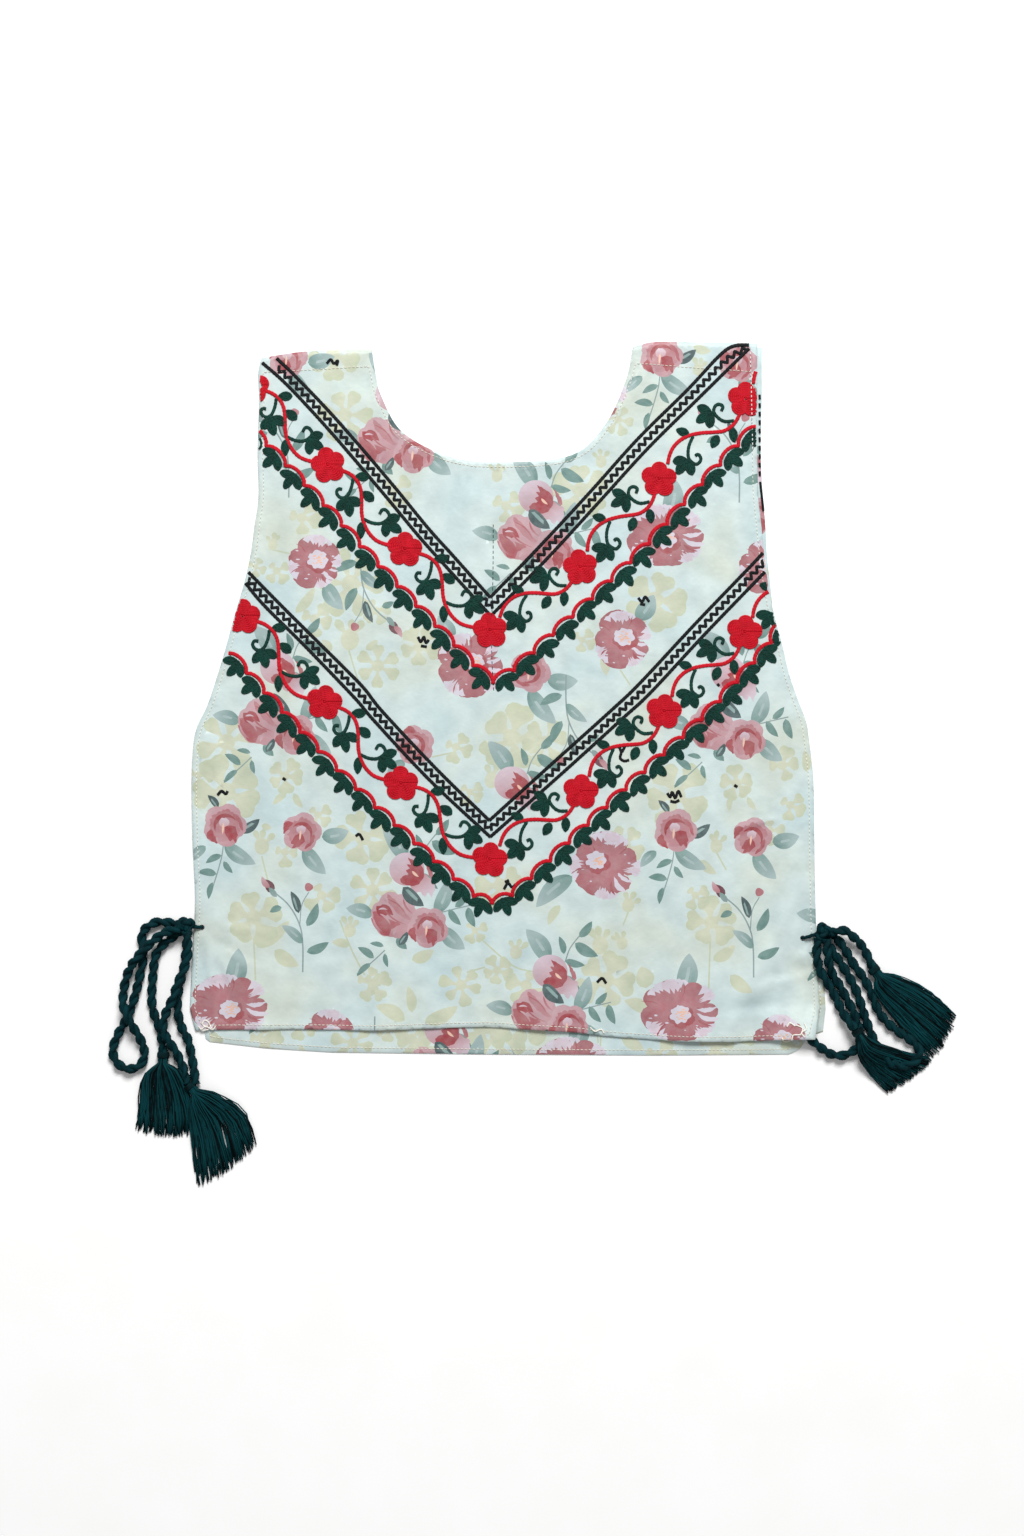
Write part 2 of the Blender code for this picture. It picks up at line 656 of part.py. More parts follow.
def build_front(mat):
    outline, shoulder_points = front_outline()
    on_shoulder = set(shoulder_points)
    creases = []
    for line in SHOULDERS[::-1]:
        first = outline.index(line[-1])
        inner = [(x, y - SHOULDER_ROLL) for x, y in reversed(line[1:-1])]
        creases.append((first - 1, inner, (first + len(line)) % len(outline)))

    def bottom(x, y, number):
        return 0.0 if number in on_shoulder else FRONT_REST + lift(x, y)

    def top(x, y, number):
        return bottom(x, y, number) + CLOTH

    holes = [eyelet_ring(p)[::-1] for p in EYELETS]
    closed_panel("front_panel", outline, holes, relief_loops(), creases, top, bottom, True, mat)


def build_back(mat):
    holes = [eyelet_ring(p)[::-1] for p in EYELETS]

    def top(x, y, number):
        return CLOTH

    def bottom(x, y, number):
        return 0.0

    closed_panel("back_panel", back_outline(), holes, [], [], top, bottom, False, mat)


def build_cord(name, route, mat):
    curve = bpy.data.curves.new(name, "CURVE")
    curve.dimensions = "3D"
    curve.bevel_depth = CORD_DIAMETER / 2 * MM
    curve.bevel_resolution = 2
    curve.use_fill_caps = True
    points = smooth_route(route, CORD_POINT_STEP)
    for p in points:
        p.z = max(p.z, LAID)
    spline = curve.splines.new("POLY")
    spline.points.add(len(points) - 1)
    for point, p in zip(spline.points, points):
        point.co = (p.x * MM, p.y * MM, p.z * MM, 1.0)
    curve.materials.append(mat)
    obj = bpy.data.objects.new(name, curve)
    bpy.context.collection.objects.link(obj)


def extruded_ring(bm, face, ring):
    """Pulls a face out to a new ring of places and returns the face at its end."""
    new = bmesh.ops.extrude_discrete_faces(bm, faces=[face])["faces"][0]
    for loop, place in zip(new.loops, ring):
        loop.vert.co = Vector(place) * MM
    return new


def build_knot(name, middle, eyelet, mat):
    """The knot's lump, with the cord's worn end reaching over the edge into the eyelet."""
    bm = bmesh.new()
    bmesh.ops.create_uvsphere(bm, u_segments=12, v_segments=8, radius=1.0)
    for v in bm.verts:
        v.co = Vector((middle[0] + v.co.x * KNOT_RADIUS, middle[1] + v.co.y * KNOT_RADIUS,
                       KNOT_HEIGHT + v.co.z * KNOT_HALF_HEIGHT)) * MM
    heading = (Vector(eyelet) - Vector(middle)).normalized()
    below_middle = 1.5
    near = Vector((middle[0] + heading.x * KNOT_RADIUS, middle[1] + heading.y * KNOT_RADIUS,
                   KNOT_HEIGHT - below_middle)) * MM
    face = min(bm.faces, key=lambda f: (f.calc_center_median() - near).length)
    bm.normal_update()
    corners = [Vector(loop.vert.co) for loop in face.loops]
    hub = face.calc_center_median()
    side = Vector((-heading.y, heading.x, 0))
    signs = [(1 if (c - hub).dot(side) > 0 else -1, 1 if c.z > hub.z else -1) for c in corners]
    end_half = 1.3
    stations = (
        # distance from the eyelet's middle, height, lean of the ring
        (2.6, FRONT_REST + CLOTH + 2.6, 0.15),
        (0.9, FRONT_REST + CLOTH + 1.3, 0.75),
        (0.0, 0.6, 1.0),
    )
    for back, height, lean in stations:
        ring = []
        for across, up in signs:
            along = -up * lean
            x = eyelet[0] - heading.x * back + side.x * across * end_half - heading.x * along * end_half
            y = eyelet[1] - heading.y * back + side.y * across * end_half - heading.y * along * end_half
            ring.append((x, y, height + up * (1 - lean) * end_half))
        face = extruded_ring(bm, face, ring)
    bmesh.ops.recalc_face_normals(bm, faces=bm.faces)
    mesh = bpy.data.meshes.new(name)
    bm.to_mesh(mesh)
    bm.free()
    mesh.shade_smooth()
    mesh.materials.append(mat)
    obj = bpy.data.objects.new(name, mesh)
    bpy.context.collection.objects.link(obj)


def strand_ring(x, y, size):
    """Three corners of a strand's section."""
    turns = [math.pi / 2 + 2 * math.pi * k / 3 for k in range(3)]
    return [(x + size * math.cos(t), y + size * math.sin(t)) for t in turns]


def strand_roots():
    """Places on the head's end for the strands, nearest the middle first, as parts of its radius."""
    spacing = 0.252
    places = []
    reach = 6
    for j in range(-reach, reach + 1):
        for i in range(-reach, reach + 1):
            x = (i + 0.5 * (j % 2)) * spacing
            y = j * spacing * 0.866
            places.append((x, y))
    places.sort(key=lambda p: (round(math.hypot(*p), 4), p))
    return places[:STRANDS]


def spread_edges(head, first_edge, second_edge):
    """The way a tassel points, the way across it, and its edges in that order."""
    target = (Vector(first_edge[0]) + Vector(second_edge[0])) / 2
    aim = (target - Vector(head)).normalized()
    across = Vector((-aim.y, aim.x))
    if (Vector(second_edge[0]) - Vector(first_edge[0])).dot(across) < 0:
        first_edge, second_edge = second_edge, first_edge
    return aim, across, first_edge, second_edge


def tassel_head(place):
    """Rings of the bound head and the disc that the strands grow from.
    Gives the points, the faces, and each strand's first ring of point numbers."""
    rings = (
        # distance along the head, part of its radius
        (-0.5, 0.62),
        (-0.3, 0.95),
        (0.0, 1.0),
        (0.28, 0.86),
        (0.5, 0.98),
    )
    sides = TASSEL_HEAD_SIDES
    turns = [2 * math.pi * k / sides for k in range(sides)]
    coords = []
    faces = [tuple(range(sides))[::-1]]
    for along, part in rings:
        radius = TASSEL_HEAD_RADIUS * part
        along *= TASSEL_HEAD_LENGTH
        coords += [place(along, radius * math.cos(t), radius * math.sin(t)) for t in turns]
    for r in range(len(rings) - 1):
        for k in range(sides):
            n = (k + 1) % sides
            faces.append((r * sides + k, r * sides + n, (r + 1) * sides + n, (r + 1) * sides + k))
    end_along, end_part = rings[-1]
    end_radius = TASSEL_HEAD_RADIUS * end_part
    disc = [(end_radius * math.cos(t), end_radius * math.sin(t)) for t in turns]
    loops = [list(range(sides))]
    for x, y in strand_roots():
        loops.append(list(range(len(disc), len(disc) + 3)))
        disc += strand_ring(x * ROOT_RADIUS, y * ROOT_RADIUS, STRAND_SIZE)
    verts, triangles, at = triangulate(disc, loops)
    base = (len(rings) - 1) * sides
    number = {at[k]: base + k for k in range(sides)}
    for i, v in enumerate(verts):
        if i not in number:
            number[i] = len(coords)
            coords.append(place(end_along * TASSEL_HEAD_LENGTH, v.x, v.y))
    open_ends = {frozenset(at[i] for i in loop) for loop in loops[1:]}
    for tri in triangles:
        if frozenset(tri) not in open_ends:
            faces.append(tuple(number[i] for i in tri))
    return coords, faces, [[number[at[k]] for k in loop] for loop in loops[1:]]


def build_tassel(name, head, head_height, first_edge, second_edge, mat, rng):
    """A head with its strands pulled out of its end face, spread between two edges."""
    aim, across, first_edge, second_edge = spread_edges(head, first_edge, second_edge)

    def place(along, sideways, up):
        x = head[0] + aim.x * along + across.x * sideways
        y = head[1] + aim.y * along + across.y * sideways
        return (x, y, head_height + up)

    coords, faces, first_rings = tassel_head(place)
    roots = strand_roots()
    order = sorted(range(len(roots)), key=lambda i: roots[i][0] + ROOT_LEAN * roots[i][1])
    rank = {root: (turn + 0.5) / len(roots) for turn, root in enumerate(order)}
    stations = (
        # share taken from the even spread, height of the lowest and of the span, part of the drop
        (0.35, 0.50, 0.72, 0.75),
        (0.85, 0.20, 0.30, 0.10),
    )
    drop = head_height - TASSEL_HEAD_RADIUS
    for i, (x, y) in enumerate(roots):
        ring = first_rings[i]
        for station, (spread, low, span, dropped) in enumerate(stations):
            part = spread * rank[i] + (1 - spread) * (x + 1) / 2
            middle = Vector(first_edge[station]).lerp(Vector(second_edge[station]), part)
            z = STRAND_FLOOR + drop * dropped + TASSEL_HEAD_RADIUS * (low + span * (y + 1))
            new_ring = []
            for sideways, up in strand_ring(0.0, 0.0, STRAND_SIZE):
                new_ring.append(len(coords))
                coords.append((middle.x + across.x * sideways, middle.y + across.y * sideways, z + up))
            for k in range(3):
                n = (k + 1) % 3
                faces.append((ring[k], ring[n], new_ring[n], new_ring[k]))
            ring = new_ring
        before = Vector(first_edge[1]).lerp(Vector(second_edge[1]), rank[i])
        tip = Vector(first_edge[2]).lerp(Vector(second_edge[2]), rank[i])
        bulge = 0.10 * math.sin(math.pi * rank[i])
        tip = before + (tip - before) * (1.0 + bulge + rng.uniform(-0.10, 0.06))
        last = len(coords)
        coords.append((tip.x, tip.y, TIP_LOWEST + TIP_SPAN * (y + 1)))
        for k in range(3):
            faces.append((ring[k], ring[(k + 1) % 3], last))
    mesh = bpy.data.meshes.new(name)
    mesh.from_pydata([Vector(c) * MM for c in coords], [], faces)
    bm = bmesh.new()
    bm.from_mesh(mesh)
    bmesh.ops.recalc_face_normals(bm, faces=bm.faces)
    bm.to_mesh(mesh)
    bm.free()
    mesh.materials.append(mat)
    obj = bpy.data.objects.new(name, mesh)
    bpy.context.collection.objects.link(obj)


def main():
    remove_all_objects()
    cloth = material("printed satin", (0.72, 0.83, 0.79), 0.45)
    yarn = material("dark green yarn", (0.006, 0.028, 0.032), 0.75)
    build_back(cloth)
    build_front(cloth)
    for name, route in CORDS:
        build_cord(name, route, yarn)
    for name, middle, eyelet in KNOTS:
        build_knot(name, middle, eyelet, yarn)
    rng = random.Random(4)
    for name, head, head_height, first_edge, second_edge in TASSELS:
        build_tassel(name, head, head_height, first_edge, second_edge, yarn, rng)


main()
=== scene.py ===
import math

import bpy
import numpy as np
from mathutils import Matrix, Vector, noise
from mathutils.geometry import delaunay_2d_cdt


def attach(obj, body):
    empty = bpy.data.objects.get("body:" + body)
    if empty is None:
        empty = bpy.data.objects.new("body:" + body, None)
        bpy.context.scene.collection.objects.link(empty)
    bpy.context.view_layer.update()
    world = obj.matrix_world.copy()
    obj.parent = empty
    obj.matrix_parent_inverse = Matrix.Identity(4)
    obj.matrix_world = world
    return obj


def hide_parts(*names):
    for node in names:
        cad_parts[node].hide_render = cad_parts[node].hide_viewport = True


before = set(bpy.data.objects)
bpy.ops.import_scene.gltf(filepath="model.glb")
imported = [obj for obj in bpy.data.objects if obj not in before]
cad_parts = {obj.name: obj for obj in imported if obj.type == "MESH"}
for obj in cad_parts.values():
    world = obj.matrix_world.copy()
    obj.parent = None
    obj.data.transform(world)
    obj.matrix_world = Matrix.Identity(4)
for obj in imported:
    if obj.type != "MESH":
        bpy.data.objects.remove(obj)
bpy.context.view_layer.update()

# All tables are in millimetres unless a comment says steps. MM turns them into metres.
MM = 0.001

# Cloth
CLOTH = 1.2
SEAM_GAP = 0.3
FRONT_REST = CLOTH + SEAM_GAP
SHOULDER_ROLL = 3.0
EYELET_RADIUS = 2.3
EYELET_SIDES = 12
EDGE_STEP = 5.0
FRONT_GRID = 3.4
BACK_GRID = 9.0
HEM_FOLD = 7.0
HEM_RISE = 0.35
STITCH_INSET = 3.9

# The print and the embroidery are laid out in steps, counted right and down over the whole cloth
STEP = 0.8
MIDDLE = (507.5, 698.5)
REPEAT_ACROSS = (450.0, 5.0)
REPEAT_DOWN = (14.0, 474.0)
BACK_PRINT_SHIFT = (-108.0, 58.0)

# Thread
LINK = 2.89

# Cords and tassels
PLY_RADIUS = 2.4
PLY_OFFSET = 1.5
TWIST_PITCH = 19.5
PLY_SIDES = 15
PLY_YARNS = 5
YARN_PITCH = 9.0
ROPE_STEP = 1.1
ROPE_TUCK = 3.4
KNOT_REACH = 1.72
KNOT_RISE = 2.1
KNOT_HEIGHT = 8.4
KNOT_THICKNESS = 0.80
END_RADIUS = 1.35
HEAD_RADIUS = 4.8
HEAD_LENGTH = 9.0
STRANDS = 190
STRAND_RADIUS = 0.62
STRAND_STATIONS = 15
LOWEST_STRAND = 0.55
WRAP_TURNS = 5
LAID = 3.6
OVER = 10.9

# Camera, light and floor. The camera and the lamp are placed in metres.
CAMERA_PLACE = (0.0036, -0.0556, 2.2)
CAMERA_SENSOR = 36.0
CAMERA_LENS = 64.45
CAMERA_REACH = 20.0
LAMP_PLACE = (0.3, 2.6, 3.0)
LAMP_SIZE = 1.5
LAMP_POWER = 174.0
ROOM_LIGHT = 0.39
FLOOR_SIZE = 6000.0

# Side edges of both panels at each height, from the armholes down to the hem
SIDES = (
    # height, front left, front right, back left, back right
    (261, -199.2, 199.6, -197.4, 203.4),
    (237, -198.4, 199.6, -196.6, 203.4),
    (199, -199.6, 199.6, -197.8, 202.4),
    (163, -198.8, 200.4, -197.0, 204.2),
    (139, -202.0, 202.8, -200.2, 206.2),
    (115, -205.2, 205.2, -203.4, 207.4),
    (91, -210.8, 208.4, -209.0, 210.2),
    (67, -218.0, 213.2, -216.2, 212.8),
    (43, -224.4, 219.6, -222.6, 218.0),
    (19, -231.6, 225.2, -229.8, 223.6),
    (-5, -239.6, 233.6, -237.8, 232.0),
    (-19, -246.4, 238.8, -244.6, 237.2),
    (-32, -250.4, 240.8, -248.6, 239.2),
    (-65, -252.4, 244.4, -250.6, 242.8),
    (-113, -251.6, 245.2, -249.8, 243.6),
    (-161, -249.6, 246.0, -247.8, 244.6),
    (-201, -251.6, 247.2, -249.0, 248.8),
    (-225, -252.8, 248.2, -248.6, 252.8),
    (-248, -253.8, 249.4, -246.0, 254.4),
)
SHOULDERS = (
    ((-196.4, 272.4), (-166.0, 277.2), (-134.0, 278.8), (-108.4, 278.8)),
    ((100.4, 281.2), (118.0, 285.2), (154.0, 285.0), (199.6, 284.0)),
)
NECK = (
    (-105.2, 258.0), (-101.0, 242.0), (-84.4, 213.2), (-48.4, 194.0), (-10.0, 188.8),
    (50.0, 194.0), (78.0, 218.8), (94.8, 254.8),
)
BACK_NECK_DROP = 2.0
FRONT_HEM = (
    (-254.4, -265.2), (-165.2, -264.6), (-106.0, -265.2), (-22.0, -262.8), (10.0, -264.4),
    (51.6, -266.8), (88.4, -270.8), (162.0, -274.4), (250.0, -271.6),
)
BACK_HEM = (
    (-243.0, -262.0), (-241.0, -274.0), (-192.4, -279.6), (-140.4, -282.8), (-22.0, -284.4),
    (114.0, -285.2), (226.0, -284.4), (234.8, -279.6), (239.6, -270.8), (252.4, -266.0),
)
EYELETS = ((-244.2, -183.0), (235.9, -191.6))

# Soft folds of the front panel, then its smaller creases. Each runs at an angle to X.
FOLDS = (
    # middle x, middle y, angle, half length, half width, rise
    (240, -272, -35, 25, 20, 9.6),
    (150, -270, 78, 40, 26, 3.2),
    (196, -232, 52, 34, 12, 2.2),
    (30, -262, 84, 34, 24, 2.4),
    (-100, -266, 95, 30, 22, 1.8),
    (-214, -214, 118, 34, 13, 1.6),
    (-40, 150, 82, 44, 8, 1.4),
    (118, 250, 62, 26, 9, 1.8),
    (-150, 20, 40, 90, 40, 1.5),
    (120, -120, 140, 90, 40, 1.6),
)
CREASES = (
    # middle x, middle y, angle, half length, half width, rise or, where negative, depth
    (-36, 168, 86, 26, 3.6, 1.0),
    (-26, 150, 84, 34, 4.0, -0.7),
    (-48, 158, 80, 22, 3.4, -0.5),
    (108, 256, 58, 22, 4.0, 1.3),
    (124, 262, 60, 20, 4.5, -0.6),
    (-112, 250, 100, 18, 5.0, -0.6),
    (-104, 232, 112, 16, 5.0, 0.6),
    (212, -60, 92, 52, 3.2, 0.9),
    (219, -70, 90, 40, 4.0, -0.6),
    (232, -102, 20, 12, 2.2, 0.7),
    (236, -110, 160, 12, 2.4, -0.6),
    (214, -190, 62, 26, 4.2, 1.4),
    (222, -212, 66, 24, 4.5, -0.9),
    (204, -214, 55, 30, 6.0, 0.9),
    (236, -228, 86, 22, 4.0, 0.8),
    (184, -252, 70, 26, 7.0, 1.0),
    (160, -248, 80, 24, 7.0, -0.6),
    (-236, -190, 160, 14, 2.4, 0.6),
    (-234, -176, 20, 13, 2.4, 0.5),
    (-232, -206, 130, 20, 3.5, 0.7),
    (-216, -236, 120, 24, 6.0, 0.6),
    (-60, -252, 88, 22, 9.0, 0.7),
    (-150, -250, 92, 22, 8.0, 0.6),
    (62, -254, 96, 24, 8.0, 0.7),
    (110, -262, 100, 22, 7.0, -0.5),
    (-128, 92, 130, 30, 6.0, 0.5),
    (-62, 20, 128, 26, 6.0, 0.4),
    (70, 60, 44, 30, 6.0, 0.5),
    (150, 140, 46, 26, 6.0, 0.5),
    (-150, -60, 132, 30, 7.0, 0.5),
    (90, -90, 42, 30, 7.0, 0.5),
    (-206, 160, 84, 24, 4.0, 0.6),
    (190, 150, 96, 26, 4.0, 0.6),
    (233, -201, 46, 8, 1.7, -1.5),
    (239, -211, 104, 13, 3.0, 1.7),
    (226, -218, 12, 17, 2.8, -1.7),
    (218, -227, 16, 22, 5.0, 1.3),
    (236, -176, 96, 15, 3.2, 1.1),
    (242, -170, 92, 15, 2.6, -0.9),
    (196, -246, 8, 24, 5.0, -1.2),
    (206, -262, 62, 16, 5.0, 1.4),
    (176, -276, 80, 20, 6.0, 1.3),
    (-226, -196, 150, 20, 3.0, -1.1),
    (-214, -184, 172, 22, 4.0, 1.0),
    (-238, -216, 98, 24, 3.4, 1.2),
    (-228, -228, 104, 22, 3.6, -1.0),
    (-196, -270, 96, 16, 6.0, 1.1),
    (-30, 120, 88, 30, 3.4, 0.9),
    (-22, 108, 90, 34, 3.0, -0.9),
    (-90, 258, 128, 22, 4.0, 0.9),
    (-82, 246, 130, 20, 3.6, -0.9),
    (206, -98, 12, 22, 2.6, 1.0),
    (212, -106, 8, 22, 2.6, -1.0),
    (222, -34, 84, 30, 3.0, 1.0),
    (-232, -60, 96, 34, 4.0, 0.9),
    (-222, -72, 98, 32, 4.0, -0.9),
    (-120, -190, 150, 34, 9.0, 0.9),
    (24, -210, 100, 34, 9.0, 0.9),
    (110, -196, 66, 34, 9.0, 0.9),
)

# Cords. Each route runs from its knot to its end.
LEFT_LOOP = (
    (-264.7, -180.0, LAID), (-278.0, -178.4, LAID), (-286.0, -181.2, LAID), (-291.2, -186.8, LAID),
    (-292.0, -194.8, LAID), (-290.8, -206.0, LAID), (-293.6, -221.2, LAID), (-296.4, -233.2, LAID),
    (-300.0, -245.2, LAID), (-304.0, -255.6, LAID), (-311.2, -268.4, LAID), (-315.2, -280.4, LAID),
    (-312.4, -290.0, LAID), (-304.4, -295.6, LAID), (-295.2, -294.0, LAID), (-290.0, -286.8, LAID),
    (-290.8, -278.0, LAID), (-294.4, -269.2, 7.0), (-300.4, -258.0, 11.4), (-305.2, -246.8, 11.4),
    (-306.4, -234.8, 6.2), (-303.6, -221.2, 6.6), (-298.4, -211.0, OVER), (-290.6, -201.4, OVER),
    (-282.0, -193.2, OVER), (-273.6, -186.8, OVER), (-264.1, -184.0, OVER),
)
LEFT_SHORT_END = (
    (-262.4, -187.1, LAID), (-268.8, -191.6, LAID), (-276.4, -198.0, LAID), (-281.2, -206.0, LAID),
    (-282.8, -217.2, LAID), (-283.8, -230.4, LAID), (-284.1, -242.0, LAID), (-282.3, -251.6, LAID),
    (-278.6, -261.2, LAID), (-276.0, -272.4, LAID), (-275.0, -280.8, 4.9),
)
LEFT_UPPER_STRAND = (
    (-255.1, -189.5, OVER), (-254.4, -198.8, OVER), (-255.2, -207.6, OVER), (-258.2, -217.2, OVER),
    (-262.8, -227.6, OVER), (-266.0, -238.0, OVER), (-270.3, -246.8, OVER), (-273.6, -255.6, OVER),
    (-274.0, -263.6, OVER), (-270.8, -271.6, OVER), (-265.6, -280.4, 7.0), (-261.2, -290.0, LAID),
    (-258.0, -298.0, LAID), (-256.8, -304.6, 4.4),
)
LEFT_LOWER_STRAND = (
    (-255.7, -189.8, LAID), (-256.7, -201.2, LAID), (-258.3, -214.0, LAID), (-262.0, -229.2, LAID),
    (-263.6, -241.2, LAID), (-263.1, -251.6, LAID), (-260.1, -262.8, LAID), (-255.3, -272.4, LAID),
    (-252.8, -282.8, LAID), (-250.8, -294.0, LAID), (-249.2, -304.8, 4.4),
)
RIGHT_SHORT_END = (
    (260.5, -186.0, OVER), (268.4, -185.2, OVER), (275.6, -190.4, 9.5), (282.0, -196.8, 6.5),
    (286.8, -204.4, 4.9), (290.6, -212.8, 4.9),
)
RIGHT_LOOP = (
    (254.6, -194.2, LAID), (259.6, -202.0, LAID), (265.2, -210.0, LAID), (271.6, -220.4, LAID),
    (278.0, -232.4, LAID), (282.0, -243.6, LAID), (285.6, -254.8, LAID), (289.6, -266.0, LAID),
    (294.4, -276.4, LAID), (301.2, -286.8, LAID), (310.8, -293.2, LAID), (321.2, -292.4, LAID),
    (328.4, -286.0, LAID), (328.0, -279.2, LAID), (321.2, -272.4, LAID), (311.6, -266.0, LAID),
    (303.2, -258.8, LAID), (296.8, -250.8, LAID), (292.6, -241.2, LAID), (288.8, -231.6, LAID),
    (283.2, -221.6, LAID), (276.0, -211.6, LAID), (270.8, -202.8, LAID), (265.2, -194.4, LAID),
    (260.0, -189.0, LAID),
)
RIGHT_TUCKED_LOOP = (
    (254.4, -195.2, OVER), (254.8, -203.6, 11.2), (256.4, -212.4, 8.0), (260.0, -221.4, LAID),
    (265.2, -229.2, LAID), (271.6, -241.2, LAID), (276.4, -250.8, LAID), (279.8, -261.2, LAID),
    (281.6, -270.8, LAID), (279.6, -278.4, LAID), (274.0, -282.8, LAID), (266.8, -285.2, LAID),
    (258.0, -284.0, LAID), (249.6, -278.6, 5.1), (242.0, -272.0, 5.3), (236.8, -266.4, 5.3),
)
RIGHT_LONG_END = (
    (247.5, -194.6, 7.0), (246.6, -201.8, 7.0), (247.4, -210.2, 7.0), (250.6, -219.8, 7.0),
    (257.2, -230.0, LAID), (262.4, -239.8, 4.0), (266.4, -248.6, 6.8), (270.4, -255.4, 9.6),
    (275.0, -261.4, 11.8),
)
CORDS = (
    # name, route, far end, lay, tassel on it
    ("left_loop_cord", LEFT_LOOP, "object", "loose", None),
    ("left_short_end_cord", LEFT_SHORT_END, "knot", "loose", "left_upper_tassel"),
    ("left_upper_strand_cord", LEFT_UPPER_STRAND, "knot", "loose", "left_lower_tassel"),
    ("left_lower_strand_cord", LEFT_LOWER_STRAND, "knot", "loose", None),
    ("right_short_end_cord", RIGHT_SHORT_END, "knot", "loose", "right_upper_tassel"),
    ("right_loop_cord", RIGHT_LOOP, "object", "loose", None),
    ("right_tucked_loop_cord", RIGHT_TUCKED_LOOP, "object", "loose", None),
    ("right_long_end_cord", RIGHT_LONG_END, "knot", "loose", "right_lower_tassel"),
)
KNOTS = (
    # name, middle, eyelet
    ("left_knot", (-256.4, -181.2), EYELETS[0]),
    ("right_knot", (252.1, -186.0), EYELETS[1]),
)
TASSELS = (
    # name, head middle, head height, one side edge, other side edge
    ("left_upper_tassel", (-274.9, -286.3), 4.9,
     ((-291.5, -301.6), (-294.6, -324.4), (-297.2, -344.6)),
     ((-259.0, -298.4), (-252.6, -321.2), (-251.6, -348.6))),
    ("left_lower_tassel", (-252.5, -310.8), 4.9,
     ((-255.2, -329.0), (-252.6, -352.0), (-248.0, -388.4)),
     ((-231.4, -314.4), (-210.6, -330.0), (-201.0, -356.8))),
    ("right_upper_tassel", (293.6, -217.9), 4.9,
     ((293.0, -236.0), (311.0, -259.0), (338.5, -286.4)),
     ((311.0, -220.6), (335.0, -233.2), (357.6, -252.2))),
    ("right_lower_tassel", (279.4, -266.9), 12.2,
     ((279.0, -286.4), (289.0, -299.2), (305.2, -314.0)),
     ((297.0, -275.0), (317.0, -282.0), (339.0, -288.0))),
)


# Small helpers

def linear(colour):
    """A colour from 0 to 255 as the renderer's linear values."""
    out = []
    for c in colour:
        c = c / 255
        out.append(c / 12.92 if c <= 0.04045 else ((c + 0.055) / 1.055) ** 2.4)
    return tuple(out)


def turns_round(count):
    """Even angles once round."""
    return 2 * math.pi * np.arange(count) / count


def rays(angles):
    """Unit directions at some angles."""
    return np.stack([np.cos(angles), np.sin(angles)], axis=1)


def ray_at(heading):
    return np.array((math.cos(heading), math.sin(heading)))


def unit(vectors):
    return vectors / np.maximum(np.linalg.norm(vectors, axis=-1), 1e-9)[..., None]


def to_left(ahead):
    """Flat directions turned a quarter to the left."""
    return np.stack([-ahead[..., 1], ahead[..., 0]], axis=-1)


def turned(points, turn, scale=1.0):
    """Flat points turned about the origin and scaled."""
    points = np.asarray(points, float)
    c = math.cos(turn) * scale
    s = math.sin(turn) * scale
    x = points[..., 0]
    y = points[..., 1]
    return np.stack([x * c - y * s, x * s + y * c], axis=-1)


def from_steps(points):
    """Steps to millimetres."""
    return (np.array(points, float) - MIDDLE) * (STEP, -STEP)


def spline(a, b, c, d, t):
    """A smooth curve from b to c that heads for the points before and after."""
    squared = 2 * a - 5 * b + 4 * c - d
    cubed = 3 * b - a - 3 * c + d
    return 0.5 * (2 * b + (c - a) * t + squared * t * t + cubed * t ** 3)


def joined(pieces):
    """Several sets of points, quads and triangles as one."""
    starts = np.cumsum([0] + [len(v) for v, q, f in pieces])
    return (np.vstack([v for v, q, f in pieces]),
            [np.vstack([q + start for (v, q, f), start in zip(pieces, starts)]),
             np.vstack([f + start for (v, q, f), start in zip(pieces, starts)])])


def smooth_route(points, step, closed=False):
    """Points about one step apart on a smooth curve through the given ones."""
    pts = [np.array(p, float) for p in points]
    if closed:
        ends = [pts[-1]] + pts + [pts[0], pts[1]]
    else:
        ends = [pts[0] * 2 - pts[1]] + pts + [pts[-1] * 2 - pts[-2]]
    t = np.linspace(0, 1, 12, endpoint=False)[:, None]
    fine = []
    for i in range(1, len(ends) - 2):
        fine.append(spline(*ends[i - 1:i + 3], t))
    fine.append(ends[-2][None] if not closed else pts[0][None])
    fine = np.vstack(fine)
    return evenly(fine, step)


def evenly(line, step):
    """The same line with its points one even step apart, ends kept."""
    line = np.asarray(line, float)
    lengths = np.concatenate([[0], np.cumsum(np.linalg.norm(np.diff(line, axis=0), axis=1))])
    count = max(1, int(round(lengths[-1] / step)))
    places = np.linspace(0, lengths[-1], count + 1)
    return np.stack([np.interp(places, lengths, line[:, k]) for k in range(line.shape[1])], axis=1)


def fractal(points, scale, seed):
    """Smooth noise from about -1 to 1 at each point, seeded by a shift."""
    out = np.empty(len(points))
    for i, p in enumerate(points):
        out[i] = noise.noise(Vector((p[0] / scale + seed * 7.3, p[1] / scale - seed * 3.1, seed * 1.7)))
    return out


